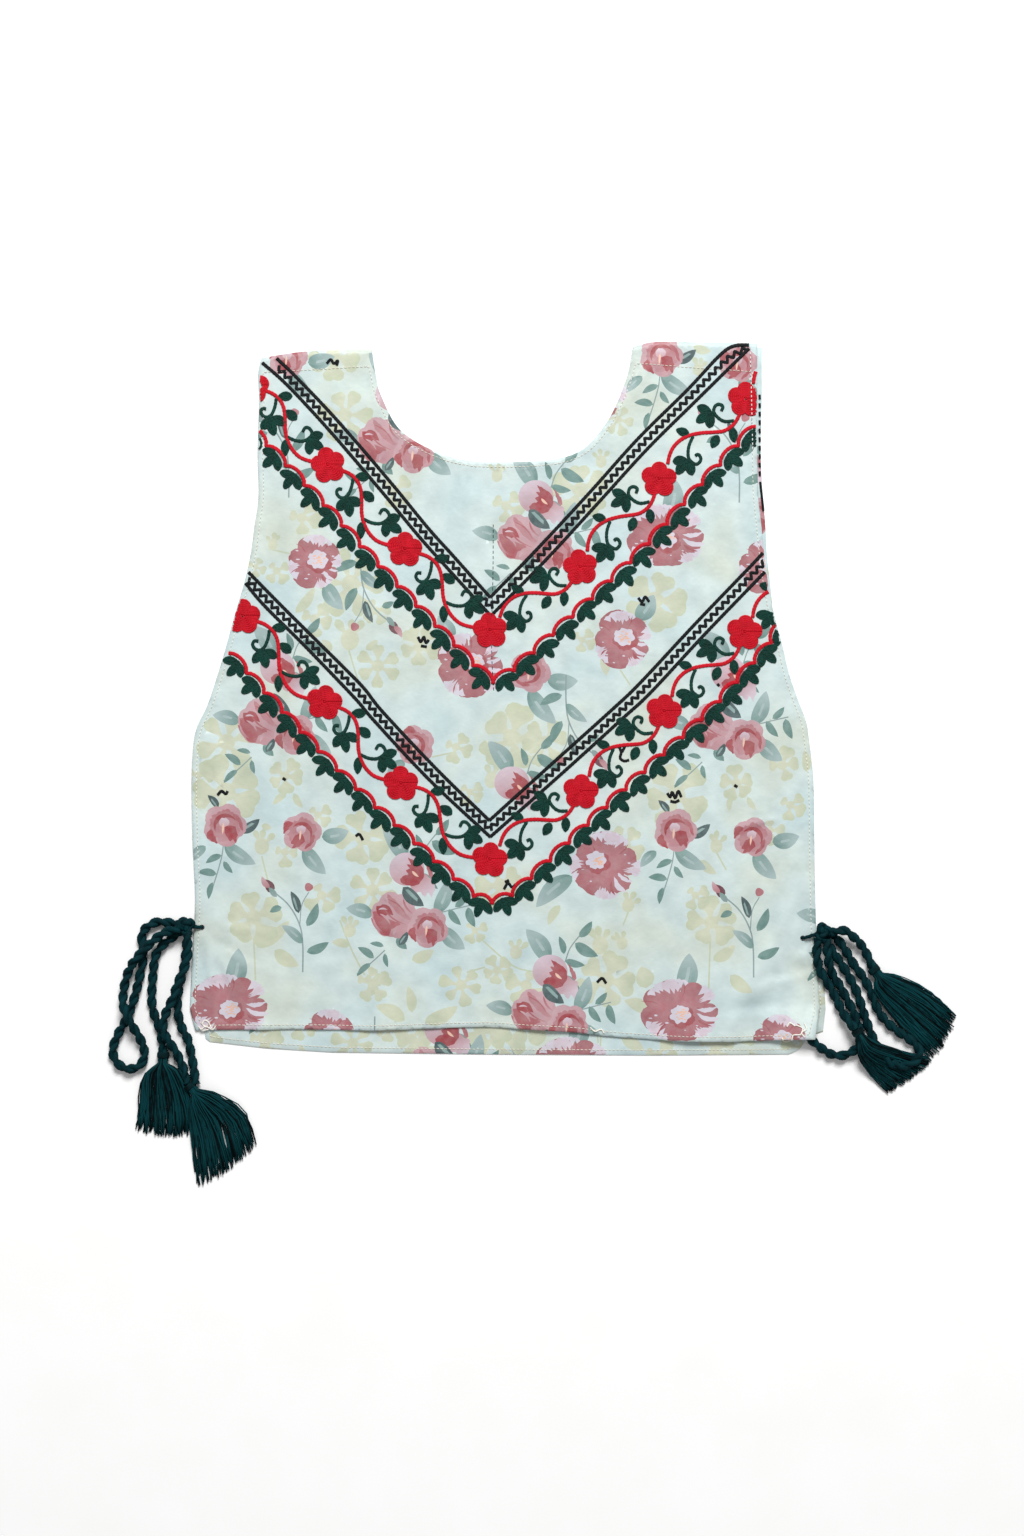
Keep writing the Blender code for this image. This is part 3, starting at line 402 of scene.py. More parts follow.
def add_mesh(name, verts, faces, mats):
    mesh = bpy.data.meshes.new(name)
    verts = np.asarray(verts, float) * MM
    faces = [np.asarray(f, np.int32) for f in (faces if isinstance(faces, list) else [faces]) if len(f)]
    mesh.vertices.add(len(verts))
    mesh.vertices.foreach_set("co", verts.astype(np.float32).ravel())
    corners = np.concatenate([f.ravel() for f in faces])
    totals = np.concatenate([np.full(len(f), f.shape[1], np.int32) for f in faces])
    starts = np.concatenate([[0], np.cumsum(totals)[:-1]]).astype(np.int32)
    mesh.loops.add(len(corners))
    mesh.loops.foreach_set("vertex_index", corners)
    mesh.polygons.add(len(totals))
    mesh.polygons.foreach_set("loop_start", starts)
    mesh.polygons.foreach_set("loop_total", totals)
    mesh.update(calc_edges=True)
    mesh.validate()
    mesh.shade_smooth()
    for mat in mats:
        mesh.materials.append(mat)
    obj = bpy.data.objects.new(name, mesh)
    bpy.context.scene.collection.objects.link(obj)
    return obj


# Materials

class Shader:
    """A material's node tree with short ways to add to it."""

    def __init__(self, name, roughness):
        self.mat = bpy.data.materials.new(name)
        self.mat.use_nodes = True
        self.nodes = self.mat.node_tree.nodes
        self.links = self.mat.node_tree.links
        self.out = self.nodes["Principled BSDF"]
        self.set("Roughness", roughness)
        self.set("Metallic", 0.0)

    def set(self, socket, value):
        self.out.inputs[socket].default_value = value

    def add(self, kind, **values):
        node = self.nodes.new(kind)
        for key, value in values.items():
            if key in node.inputs:
                node.inputs[key].default_value = value
            else:
                setattr(node, key, value)
        return node

    def join(self, source, target):
        self.links.new(source, target)

    def noise(self, scale, detail=3.0, stretch=None, rough=0.5):
        """Noise in millimetre-sized waves, stretched along some axes if asked."""
        place = self.add("ShaderNodeTexCoord").outputs["Object"]
        if stretch:
            mapping = self.add("ShaderNodeMapping")
            mapping.inputs["Scale"].default_value = stretch
            self.join(place, mapping.inputs["Vector"])
            place = mapping.outputs["Vector"]
        node = self.add("ShaderNodeTexNoise", Scale=1 / (scale * MM), Detail=detail, Roughness=rough)
        self.join(place, node.inputs["Vector"])
        return node.outputs["Fac"]

    def ramp(self, factor, stops):
        """Colours by a value, as (place, colour) pairs."""
        node = self.add("ShaderNodeValToRGB")
        ramp = node.color_ramp
        while len(ramp.elements) < len(stops):
            ramp.elements.new(0.5)
        for element, (place, colour) in zip(ramp.elements, stops):
            element.position = place
            element.color = (*linear(colour), 1.0)
        self.join(factor, node.inputs["Fac"])
        return node.outputs["Color"]

    def span(self, value, low, high, to_low, to_high):
        node = self.add("ShaderNodeMapRange")
        node.inputs["From Min"].default_value = low
        node.inputs["From Max"].default_value = high
        node.inputs["To Min"].default_value = to_low
        node.inputs["To Max"].default_value = to_high
        self.join(value, node.inputs["Value"])
        return node.outputs["Result"]

    def mix(self, factor, first, second, blend="MIX"):
        node = self.add("ShaderNodeMix", data_type="RGBA", blend_type=blend)
        if isinstance(factor, float):
            node.inputs["Factor"].default_value = factor
        else:
            self.join(factor, node.inputs["Factor"])
        self.join(first, node.inputs["A"])
        self.join(second, node.inputs["B"])
        return node.outputs["Result"]

    def sums(self, operation, first, second):
        node = self.add("ShaderNodeMath", operation=operation)
        for socket, value in zip(node.inputs, (first, second)):
            if isinstance(value, (int, float)):
                socket.default_value = value
            else:
                self.join(value, socket)
        return node.outputs["Value"]

    def bump(self, height, distance, strength=1.0):
        """distance in millimetres for a height from 0 to 1."""
        node = self.add("ShaderNodeBump", Distance=distance * MM, Strength=strength)
        self.join(height, node.inputs["Height"])
        if self.out.inputs["Normal"].is_linked:
            self.join(self.out.inputs["Normal"].links[0].from_socket, node.inputs["Normal"])
        self.join(node.outputs["Normal"], self.out.inputs["Normal"])

    def colour(self, socket):
        self.join(socket, self.out.inputs["Base Color"])


def yarn_material(name, dark, light, roughness, fibre=0.35, sheen=0.0, strands=0.0, gloss=0.2):
    """Yarn with fine fibres, slow changes of shade and, if asked, a shade of its own for each strand."""
    s = Shader(name, roughness)
    fibres = s.noise(fibre, 2.0, rough=0.7)
    shade = s.noise(fibre * 14, 2.0)
    both = s.sums("ADD", s.sums("MULTIPLY", fibres, 0.6 - 0.2 * strands), s.sums("MULTIPLY", shade, 0.4))
    if strands:
        own = s.add("ShaderNodeNewGeometry").outputs["Random Per Island"]
        both = s.sums("ADD", both, s.sums("MULTIPLY", s.sums("SUBTRACT", own, 0.3), strands))
    s.colour(s.ramp(both, ((0.32, dark), (0.68, light))))
    s.bump(fibres, 0.12)
    s.set("Sheen Weight", sheen)
    s.set("Specular IOR Level", gloss)
    return s.mat


# Ropes

def ring_frames(path):
    """Directions across a path that never stands upright: sideways and up."""
    ahead = np.gradient(path, axis=0)
    ahead /= np.linalg.norm(ahead, axis=1)[:, None]
    side = np.cross((0.0, 0.0, 1.0), ahead)
    side /= np.linalg.norm(side, axis=1)[:, None]
    return side, np.cross(ahead, side)


def tube(path, sections, side, up):
    """Points and quads of a tube whose sections are given as (across, up) at each station."""
    count = sections.shape[1]
    verts = (path[:, None, :] + sections[:, :, 0:1] * side[:, None, :]
             + sections[:, :, 1:2] * up[:, None, :])
    rows = np.arange(len(path) - 1)[:, None] * count
    k = np.arange(count)[None, :]
    n = (k + 1) % count
    quads = np.stack([rows + k, rows + n, rows + count + n, rows + count + k], axis=2).reshape(-1, 4)
    last = (len(path) - 1) * count
    fans = []
    for start, flip in ((0, True), (last, False)):
        for j in range(1, count - 1):
            tri = (start, start + j, start + j + 1)
            fans.append(tri[::-1] if flip else tri)
    return verts.reshape(-1, 3), quads, np.array(fans)


def plied_rope(path, scale=1.0, seed=0):
    """Two plies twisted round a path, each of five yarns twisted the other way."""
    side, up = ring_frames(path)
    along = np.concatenate([[0], np.cumsum(np.linalg.norm(np.diff(path, axis=0), axis=1))])
    pieces = []
    slow = fractal(np.stack([along, along * 0], axis=1), 16.0, seed)
    for ply in range(2):
        turn = 2 * math.pi * along / TWIST_PITCH + ply * math.pi + 0.5 * slow
        middle = PLY_OFFSET * scale * rays(turn)
        angles = turns_round(PLY_SIDES)
        around = angles[None, :] + turn[:, None]
        yarn_turn = angles[None, :] + 2 * math.pi * along[:, None] / YARN_PITCH
        lobes = 1 + 0.11 * np.cos(PLY_YARNS * yarn_turn)
        soft = 1 + 0.05 * fractal(np.stack([along, along * 0 + 40 * ply], axis=1), 5.0, seed + 2)[:, None]
        radius = PLY_RADIUS * scale * lobes * soft
        section = np.stack([middle[:, 0:1] + radius * np.cos(around),
                            middle[:, 1:2] + radius * np.sin(around)], axis=2)
        pieces.append(tube(path, section, side, up))
    return joined(pieces)


def cord_path(route):
    path = smooth_route(route, ROPE_STEP)
    path[:, 2] = np.maximum(path[:, 2], (PLY_OFFSET + PLY_RADIUS) * 1.04)
    return path


yarn = yarn_material("tie yarn", (0, 9, 13), (2, 56, 62), 0.80, 0.5, gloss=0.1)
tassel_yarn = yarn_material("tassel yarn", (0, 8, 11), (3, 58, 63), 0.80, strands=0.7, gloss=0.1)


def build_cord(number, name, route):
    """A rope on its route. Its ends run on a little into the knot and the tassel."""
    path = cord_path(route)
    ends = [end + (end - near) / np.linalg.norm(end - near) * ROPE_TUCK
            for end, near in ((path[0], path[3]), (path[-1], path[-4]))]
    longer = evenly(np.vstack([ends[0], path, ends[1]]), ROPE_STEP)
    verts, faces = plied_rope(longer, seed=number)
    obj = add_mesh(name.replace("_cord", "_rope"), verts, faces, [yarn])
    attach(obj, "root")
    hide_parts(name)


# Knots

def build_knot(name, middle, eyelet):
    """An overhand knot pulled tight, its worn end going over the edge into the eyelet."""
    middle = np.array(middle)
    eyelet = np.array(eyelet)
    heading = (eyelet - middle) / np.linalg.norm(eyelet - middle)
    turn = math.atan2(heading[1], heading[0])
    t = np.linspace(0, 2 * math.pi, 90, endpoint=False)
    loop = np.stack([KNOT_REACH * (np.sin(t) + 2 * np.sin(2 * t)),
                     KNOT_REACH * (np.cos(t) - 2 * np.cos(2 * t)),
                     KNOT_RISE * -np.sin(3 * t)], axis=1)
    c = math.cos(turn)
    s = math.sin(turn)
    path = np.stack([middle[0] + loop[:, 0] * c - loop[:, 1] * s,
                     middle[1] + loop[:, 0] * s + loop[:, 1] * c,
                     KNOT_HEIGHT + loop[:, 2]], axis=1)
    path = np.vstack([path, path[:2]])
    verts, faces = plied_rope(evenly(path, 0.9), KNOT_THICKNESS, 5)
    end = np.array((
        (*(middle + heading * 4.0), 8.0),
        (*(eyelet - heading * 4.6), FRONT_REST + CLOTH + 3.4),
        (*(eyelet - heading * 2.4), FRONT_REST + CLOTH + 2.5),
        (*(eyelet - heading * 0.5), FRONT_REST + CLOTH + 0.7),
        (*(eyelet + heading * 0.1), 1.6),
        (*(eyelet + heading * 0.3), 0.7),
    ))
    path = smooth_route(end, 0.6)
    side, up = ring_frames(path)
    angles = turns_round(10)
    radius = (END_RADIUS * (1 + 0.12 * np.cos(3 * angles[None, :] + 0.9 * np.arange(len(path))[:, None]))
              * np.linspace(1.25, 0.85, len(path))[:, None])
    section = np.stack([radius * np.cos(angles), radius * np.sin(angles)], axis=2)
    v, q, f = tube(path, section, side, up)
    v[:, 2] = np.maximum(v[:, 2], 0.15)
    verts, faces = joined([(verts, *faces), (v, q, f)])
    obj = add_mesh(name.replace("knot", "tied_knot"), verts, faces, [yarn])
    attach(obj, "root")
    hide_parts(name)


# Tassels

def strand_tubes(paths, radii, sides=4):
    """Many thin closed tubes at once, from paths of the same number of stations."""
    count, stations, _ = paths.shape
    ahead = np.gradient(paths, axis=1)
    ahead /= np.maximum(np.linalg.norm(ahead, axis=2), 1e-9)[:, :, None]
    side = np.cross(np.array((0.0, 0.0, 1.0)), ahead)
    side /= np.maximum(np.linalg.norm(side, axis=2), 1e-9)[:, :, None]
    up = np.cross(ahead, side)
    angles = math.pi / 4 + turns_round(sides)
    verts = (paths[:, :, None, :]
             + radii[:, :, None, None] * (np.cos(angles)[None, None, :, None] * side[:, :, None, :]
                                          + np.sin(angles)[None, None, :, None] * up[:, :, None, :]))
    base = (np.arange(count)[:, None, None] * stations + np.arange(stations - 1)[None, :, None]) * sides
    k = np.arange(sides)[None, None, :]
    n = (k + 1) % sides
    quads = np.stack([base + k, base + n, base + sides + n, base + sides + k], axis=3).reshape(-1, 4)
    first = np.arange(count) * stations * sides
    last = first + (stations - 1) * sides
    caps = np.vstack([np.stack([first + i for i in range(sides)][::-1], axis=1),
                      np.stack([last + i for i in range(sides)], axis=1)])
    return verts.reshape(-1, 3), np.vstack([quads, caps])


def build_tassel(number, name, head, head_height, first_edge, second_edge):
    """A wrapped head with its yarns spread, wavy and uneven at the ends."""
    rng = np.random.default_rng(number + 11)
    head = np.array(head)
    first_edge = np.array(first_edge)
    second_edge = np.array(second_edge)
    aim = (first_edge[0] + second_edge[0]) / 2 - head
    aim /= np.linalg.norm(aim)
    across = np.array((-aim[1], aim[0]))
    if (second_edge[0] - first_edge[0]) @ across < 0:
        first_edge, second_edge = second_edge, first_edge
    radius = np.sqrt(rng.random(STRANDS)) * 0.93
    turn = rng.random(STRANDS) * 2 * math.pi
    x = radius * np.cos(turn)
    y = radius * np.sin(turn)
    rank = np.empty(STRANDS)
    rank[np.argsort(x + 0.22 * y)] = (np.arange(STRANDS) + 0.5) / STRANDS
    rank = np.clip(rank + rng.normal(0, 0.03, STRANDS), 0.0, 1.0)
    keys = []
    for back, keep in ((-0.42, 0.55), (-0.1, 0.8), (0.3, 0.85), (0.62, 1.0)):
        flat = head + aim * HEAD_LENGTH * back + across * (x * HEAD_RADIUS * keep)[:, None]
        z = head_height + y * HEAD_RADIUS * keep
        keys.append(np.column_stack([flat, z]))
    drop = head_height - HEAD_RADIUS
    spreads = ((0.35, 0.42, 0.66, 0.75), (0.85, 0.16, 0.30, 0.10))
    for station, (spread, low, span, dropped) in enumerate(spreads):
        part = spread * rank + (1 - spread) * (x + 1) / 2
        flat = first_edge[station] + (second_edge[station] - first_edge[station]) * part[:, None]
        z = 0.6 + drop * dropped + HEAD_RADIUS * (low + span * (y + 1))
        keys.append(np.column_stack([flat, z]))
    before = first_edge[1] + (second_edge[1] - first_edge[1]) * rank[:, None]
    tip = first_edge[2] + (second_edge[2] - first_edge[2]) * rank[:, None]
    reach = 1.0 + 0.10 * np.sin(math.pi * rank) + rng.uniform(-0.30, 0.07, STRANDS)
    tip = before + (tip - before) * reach[:, None]
    keys.append(np.column_stack([tip, LOWEST_STRAND + 0.9 * (y + 1)]))
    keys = np.array(keys)
    stations = STRAND_STATIONS
    places = np.linspace(0, len(keys) - 1, stations)
    paths = np.empty((STRANDS, stations, 3))
    padded = np.concatenate([keys[:1] * 2 - keys[1:2], keys, keys[-1:] * 2 - keys[-2:-1]])
    for i, place in enumerate(places):
        k = min(int(place), len(keys) - 2)
        t = place - k
        paths[:, i] = spline(*padded[k:k + 4], t)
    free = np.clip((places - 3.2) / 2.5, 0, 1)[None, :]
    phase = rng.random(STRANDS)[:, None] * 6.28
    waves = 1.1 + rng.random(STRANDS)[:, None] * 1.6
    size = (0.6 + rng.random(STRANDS)[:, None] * 2.0) * free
    sway = size * np.sin(phase + waves * places[None, :] * 1.25)
    paths[:, :, :2] += sway[:, :, None] * across
    paths[:, :, 2] += 0.25 * size * np.cos(phase * 1.7 + waves * places[None, :])
    paths[:, :, 2] = np.maximum(paths[:, :, 2], LOWEST_STRAND)
    radii = STRAND_RADIUS * (0.9 + 0.25 * rng.random((STRANDS, 1))) * np.ones((1, stations))
    verts, faces = strand_tubes(paths, radii)
    t = np.linspace(0, WRAP_TURNS * 2 * math.pi, WRAP_TURNS * 22)
    wrap_radius = HEAD_RADIUS * 0.86
    along = np.linspace(-0.36, 0.02, len(t)) * HEAD_LENGTH
    swing = across * (wrap_radius * np.cos(t))[:, None]
    wrap = np.column_stack([head + aim * along[:, None] + swing, head_height + wrap_radius * np.sin(t)])
    wrap_ahead = np.gradient(wrap, axis=0)
    wrap_ahead /= np.linalg.norm(wrap_ahead, axis=1)[:, None]
    axis = np.array((aim[0], aim[1], 0.0))
    outward = np.cross(wrap_ahead, axis)
    outward /= np.linalg.norm(outward, axis=1)[:, None]
    lean = np.cross(outward, wrap_ahead)
    angles = turns_round(8)
    section = np.stack([0.85 * np.cos(angles), 0.95 * np.sin(angles)], axis=1)
    section = np.repeat(section[None], len(wrap), axis=0)
    v, q, f = tube(wrap, section, outward, lean)
    v[:, 2] = np.maximum(v[:, 2], 0.1)
    shift = len(verts)
    obj = add_mesh(name.replace("tassel", "tassel_yarns"), np.vstack([verts, v]),
                   [np.vstack([faces, q + shift]), f + shift], [tassel_yarn])
    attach(obj, "root")
    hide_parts(name)


# Panels

def side_points(column):
    return smooth_route([(row[column], row[0]) for row in SIDES], EDGE_STEP)


def front_outline():
    left_end = SHOULDERS[0][-1]
    right_start = SHOULDERS[1][0]
    neck = [(left_end[0] + 0.4, left_end[1] - SHOULDER_ROLL)] + list(NECK)
    neck.append((right_start[0] - 0.5, right_start[1] - SHOULDER_ROLL))
    left_corner = SHOULDERS[0][0]
    right_corner = SHOULDERS[1][-1]
    parts = (
        [(left_corner[0] - 0.9, left_corner[1] - SHOULDER_ROLL)],
        side_points(1),
        smooth_route(FRONT_HEM, EDGE_STEP)[1:-1],
        side_points(2)[::-1],
        [(right_corner[0], right_corner[1] - SHOULDER_ROLL)],
        smooth_route(SHOULDERS[1], EDGE_STEP)[::-1],
        smooth_route(neck, EDGE_STEP)[::-1],
        smooth_route(SHOULDERS[0], EDGE_STEP)[::-1],
    )
    return np.vstack([np.array(part, float) for part in parts])


def back_outline():
    drop = SHOULDER_ROLL + SEAM_GAP
    neck = smooth_route([(x, y - BACK_NECK_DROP) for x, y in NECK], EDGE_STEP)
    left = np.array([(x, y - drop) for x, y in SHOULDERS[0]])
    right = np.array([(x, y - drop) for x, y in SHOULDERS[1]])
    left[0][0] = SIDES[0][3]
    left[-1][0] -= BACK_NECK_DROP
    right[0][0] += BACK_NECK_DROP
    right[-1][0] = SIDES[0][4]
    parts = (
        side_points(3),
        evenly(BACK_HEM, EDGE_STEP),
        side_points(4)[::-1],
        evenly(right, EDGE_STEP)[::-1],
        neck[::-1],
        evenly(left, EDGE_STEP)[::-1],
    )
    return np.vstack(parts)


def eyelet_ring(middle):
    return np.array(middle) + EYELET_RADIUS * rays(turns_round(EYELET_SIDES))


def inside(points, loop):
    """Which points lie inside a closed loop."""
    points = np.asarray(points, float)
    a = np.asarray(loop, float)
    b = np.roll(a, -1, axis=0)
    level = a[:, 1] == b[:, 1]
    slope = (b[:, 0] - a[:, 0]) / np.where(level, 1.0, b[:, 1] - a[:, 1])
    odd = np.zeros(len(points), bool)
    for start in range(0, len(points), 20000):
        some = points[start:start + 20000, None]
        crosses = (a[:, 1] > some[..., 1]) != (b[:, 1] > some[..., 1])
        left = some[..., 0] < slope * (some[..., 1] - a[:, 1]) + a[:, 0]
        odd[start:start + 20000] = (crosses & left).sum(axis=1) % 2 == 1
    return odd


def distance_to(points, line, closed=False):
    """Distance of each point from a line."""
    points = np.asarray(points, float)
    line = np.asarray(line, float)
    a = line if closed else line[:-1]
    d = (np.roll(line, -1, axis=0) if closed else line[1:]) - a
    squares = np.maximum((d * d).sum(axis=1), 1e-12)
    best = np.empty(len(points))
    for start in range(0, len(points), 20000):
        x = points[start:start + 20000, :1] - a[:, 0]
        y = points[start:start + 20000, 1:] - a[:, 1]
        t = np.clip((x * d[:, 0] + y * d[:, 1]) / squares, 0, 1)
        gaps = (x - t * d[:, 0]) ** 2 + (y - t * d[:, 1]) ** 2
        best[start:start + 20000] = np.sqrt(gaps.min(axis=1))
    return best


def inset(loop, distance):
    """A closed loop moved inwards, for a loop that runs anticlockwise."""
    return loop + distance * to_left(unit(np.roll(loop, -1, axis=0) - np.roll(loop, 1, axis=0)))


def soft_ridges(points, rows):
    total = np.zeros(len(points))
    for x, y, angle, half_length, half_width, rise in rows:
        turn = math.radians(angle)
        dx = points[:, 0] - x
        dy = points[:, 1] - y
        along = dx * math.cos(turn) + dy * math.sin(turn)
        across = dy * math.cos(turn) - dx * math.sin(turn)
        total += rise * np.exp(-(along / half_length) ** 2 - (across / half_width) ** 2)
    return total


def signed_area(loop):
    x, y = np.asarray(loop).T
    return 0.5 * float(np.sum(x * np.roll(y, -1) - np.roll(x, -1) * y))


def flat_mesh(outline, holes, loops, extra):
    """Points and triangles inside the outline and outside the holes, cut along all the loops."""
    chains = [outline] + list(holes) + list(loops)
    points = np.vstack(chains + [extra])
    edges = []
    start = 0
    for chain in chains:
        n = len(chain)
        edges += [(start + i, start + (i + 1) % n) for i in range(n)]
        start += n
    verts, _, faces, _, _, _ = delaunay_2d_cdt([Vector(p) for p in points], edges, [], 0, 1e-4, False)
    verts = np.array([(v.x, v.y) for v in verts])
    tris = np.array([f for f in faces if len(f) == 3])
    middles = verts[tris].mean(axis=1)
    keep = inside(middles, outline)
    for hole in holes:
        keep &= ~inside(middles, hole)
    tris = tris[keep]
    a, b, c = (verts[tris[:, k]] for k in range(3))
    flip = ((b[:, 0] - a[:, 0]) * (c[:, 1] - a[:, 1]) - (b[:, 1] - a[:, 1]) * (c[:, 0] - a[:, 0])) < 0
    tris[flip] = tris[flip][:, ::-1]
    used, tris = np.unique(tris, return_inverse=True)
    return verts[used], tris.reshape(-1, 3)


def border_loops(tris):
    """Loops of point numbers round the triangles, each the way its triangles run."""
    pairs = np.vstack([tris[:, [0, 1]], tris[:, [1, 2]], tris[:, [2, 0]]])
    have = {(int(a), int(b)) for a, b in pairs}
    after = {a: b for a, b in have if (b, a) not in have}
    loops = []
    while after:
        first = next(iter(after))
        loop = [first]
        following = after.pop(first)
        while following != first:
            loop.append(following)
            following = after.pop(following)
        loops.append(loop)
    return loops


def grid(outline, step, clearance, rng):
    low = outline.min(axis=0)
    high = outline.max(axis=0)
    rows = np.arange(low[1], high[1], step * 0.866)
    out = []
    for j, y in enumerate(rows):
        x = np.arange(low[0] + 0.5 * step * (j % 2), high[0], step)
        out.append(np.stack([x, np.full(len(x), y)], axis=1))
    points = np.vstack(out)
    points += rng.uniform(-0.22, 0.22, points.shape) * step
    points = points[inside(points, outline)]
    return points[distance_to(points, outline, True) > clearance]


def shell(name, outline, holes, loops, extra, top, bottom, mats):
    """A closed sheet of cloth, its upper face cut along the loops. Gives the object, the upper
    face's points and its triangles."""
    verts, tris = flat_mesh(outline, holes, loops, extra)
    borders = border_loops(tris)
    outer = max(borders, key=lambda loop: signed_area(verts[loop]))
    others = [loop for loop in borders if loop is not outer]
    lower_extra = np.vstack([inset(outline, SHOULDER_ROLL),
                             grid(outline, BACK_GRID, 4.5, np.random.default_rng(3))])
    low_verts, low_tris = flat_mesh(verts[outer], [verts[loop] for loop in others], [], lower_extra)
    place = {(round(x, 3), round(y, 3)): i for i, (x, y) in enumerate(low_verts)}
    shift = len(verts)
    walls = []
    edge = np.zeros(len(verts), bool)
    low_edge = np.zeros(len(low_verts), bool)
    for loop in borders:
        below = [place[(round(verts[i][0], 3), round(verts[i][1], 3))] for i in loop]
        edge[loop] = True
        low_edge[below] = True
        for k in range(len(loop)):
            n = (k + 1) % len(loop)
            walls.append((loop[n], loop[k], below[k] + shift, below[n] + shift))
    upper = np.column_stack([verts, top(verts, edge)])
    lower = np.column_stack([low_verts, bottom(low_verts, low_edge)])
    faces = [np.vstack([tris, low_tris[:, ::-1] + shift]), np.array(walls)]
    obj = add_mesh(name, np.vstack([upper, lower]), faces, mats)
    obj.data.set_sharp_from_angle(angle=math.radians(60))
    return obj, verts, tris


def ground_height(points):
    """How far the front's folds, creases and slack lift it above the back."""
    total = soft_ridges(points, FOLDS) + soft_ridges(points, CREASES)
    total += 0.50 * fractal(points, 34.0, 1) + 0.20 * fractal(points, 11.0, 2)
    return np.maximum(total, 0.0)


def hem_profile(distance):
    """The folded and stitched edge: a little thicker, rounded off and pulled in along its stitches."""
    fold = HEM_RISE * np.clip((HEM_FOLD - distance) / 1.2, 0, 1)
    groove = -0.22 * np.exp(-((distance - STITCH_INSET) / 0.7) ** 2)
    rounding = -0.75 * np.clip(1 - distance / 0.8, 0, 1) ** 2
    return fold + groove + rounding


FRONT_OUTLINE = front_outline()
BACK_OUTLINE = back_outline()


def shoulder_line(points):
    """How far up the shoulder seam is at each point's place from side to side."""
    left = np.array(SHOULDERS[0])
    right = np.array(SHOULDERS[1])
    return np.where(points[:, 0] < 0, np.interp(points[:, 0], left[:, 0], left[:, 1]),
                    np.interp(points[:, 0], right[:, 0], right[:, 1]))


def front_bottom(points, edge):
    z = FRONT_REST + ground_height(points)
    return np.where(edge & (shoulder_line(points) - points[:, 1] < 0.2), 0.0, z)


def front_top(points, edge):
    distance = distance_to(points, FRONT_OUTLINE, True)
    clear = np.clip((shoulder_line(points) - points[:, 1] - 7.0) / 4.0, 0, 1)
    z = FRONT_REST + ground_height(points) + CLOTH + hem_profile(distance) * clear
    below = np.clip((shoulder_line(points) - points[:, 1]) / SHOULDER_ROLL, 0, 1)
    round_over = 1 - np.sqrt(np.maximum(0.0, 1 - (1 - below) ** 2))
    return z - (FRONT_REST + 0.4) * round_over


def back_top(points, edge):
    distance = distance_to(points, BACK_OUTLINE, True)
    return CLOTH + 0.5 * hem_profile(distance) - 0.15


def back_bottom(points, edge):
    return np.zeros(len(points))


def front_surface(points):
    """Height of the front's face under thread that lies on it."""
    points = np.asarray(points, float)
    return front_top(points, None)


# The print. Its shapes are drawn in steps, one over another, each with two shades.

GROUND_LIGHT = (212, 227, 224)
GROUND_COOL = (203, 222, 223)
GROUND_WARM = (211, 220, 208)
YELLOW = (211, 214, 189)
YELLOW_DEEP = (199, 206, 178)
LEAF_PALE = (170, 190, 190)
LEAF_MIST = (154, 178, 177)
LEAF_GREEN = (118, 151, 144)
LEAF_DEEP = (98, 134, 128)
LEAF_DARK = (66, 86, 88)
STEM = (140, 159, 158)
PINK_PALE = (203, 165, 172)
PINK_LIGHT = (190, 139, 146)
PINK = (180, 110, 117)
PINK_DEEP = (168, 75, 82)
ROSE_RED = (160, 54, 63)
LILAC = (215, 196, 207)
MAUVE = (164, 90, 97)
MAUVE_LIGHT = (181, 117, 124)
BRUSH = (217, 209, 221)
PEACH = (243, 176, 140)
PEACH_PALE = (240, 196, 174)
MAROON = (106, 48, 62)


class Shape:
    """A flat painted shape: its loop, its two shades and the line from one to the other."""

    def __init__(self, loop, first, second=None, start=None, end=None):
        self.loop = np.asarray(loop, float)
        self.first = np.array(linear(first))
        self.second = np.array(linear(second or first))
        self.start = self.loop.mean(axis=0) if start is None else np.array(start, float)
        self.end = self.start + (1.0, 0.0) if end is None else np.array(end, float)

    def moved(self, shift):
        copy = Shape.__new__(Shape)
        copy.__dict__.update(self.__dict__)
        copy.loop = self.loop + shift
        copy.start = self.start + shift
        copy.end = self.end + shift
        return copy

    def shades(self, points):
        along = self.end - self.start
        t = np.clip(((points - self.start) @ along) / (along @ along), 0, 1)[:, None]
        return self.first * (1 - t) + self.second * t


def leaf_loop(base, tip, width, bend=0.0, low=0.0, high=1.0, left=1.0, right=1.0, round_base=0.62,
              step=2.6):
    """A leaf's outline from base to tip, or the part of it between two heights and two sides."""
    base = np.array(base, float)
    tip = np.array(tip, float)
    along = tip - base
    length = np.linalg.norm(along)
    across = np.array((-along[1], along[0])) / length
    count = max(6, int(length / step))
    t = np.linspace(low, high, count)
    profile = np.maximum(t, 0) ** round_base * np.maximum(1 - t, 0) ** 0.85
    profile = profile / 0.5 * width / 2 * 0.98
    spine = base + t[:, None] * along + (bend * length * np.sin(math.pi * t))[:, None] * across
    one = spine + (profile * left)[:, None] * across
    other = spine - (profile * right)[:, None] * across
    return np.vstack([one, other[::-1][1:-1]])


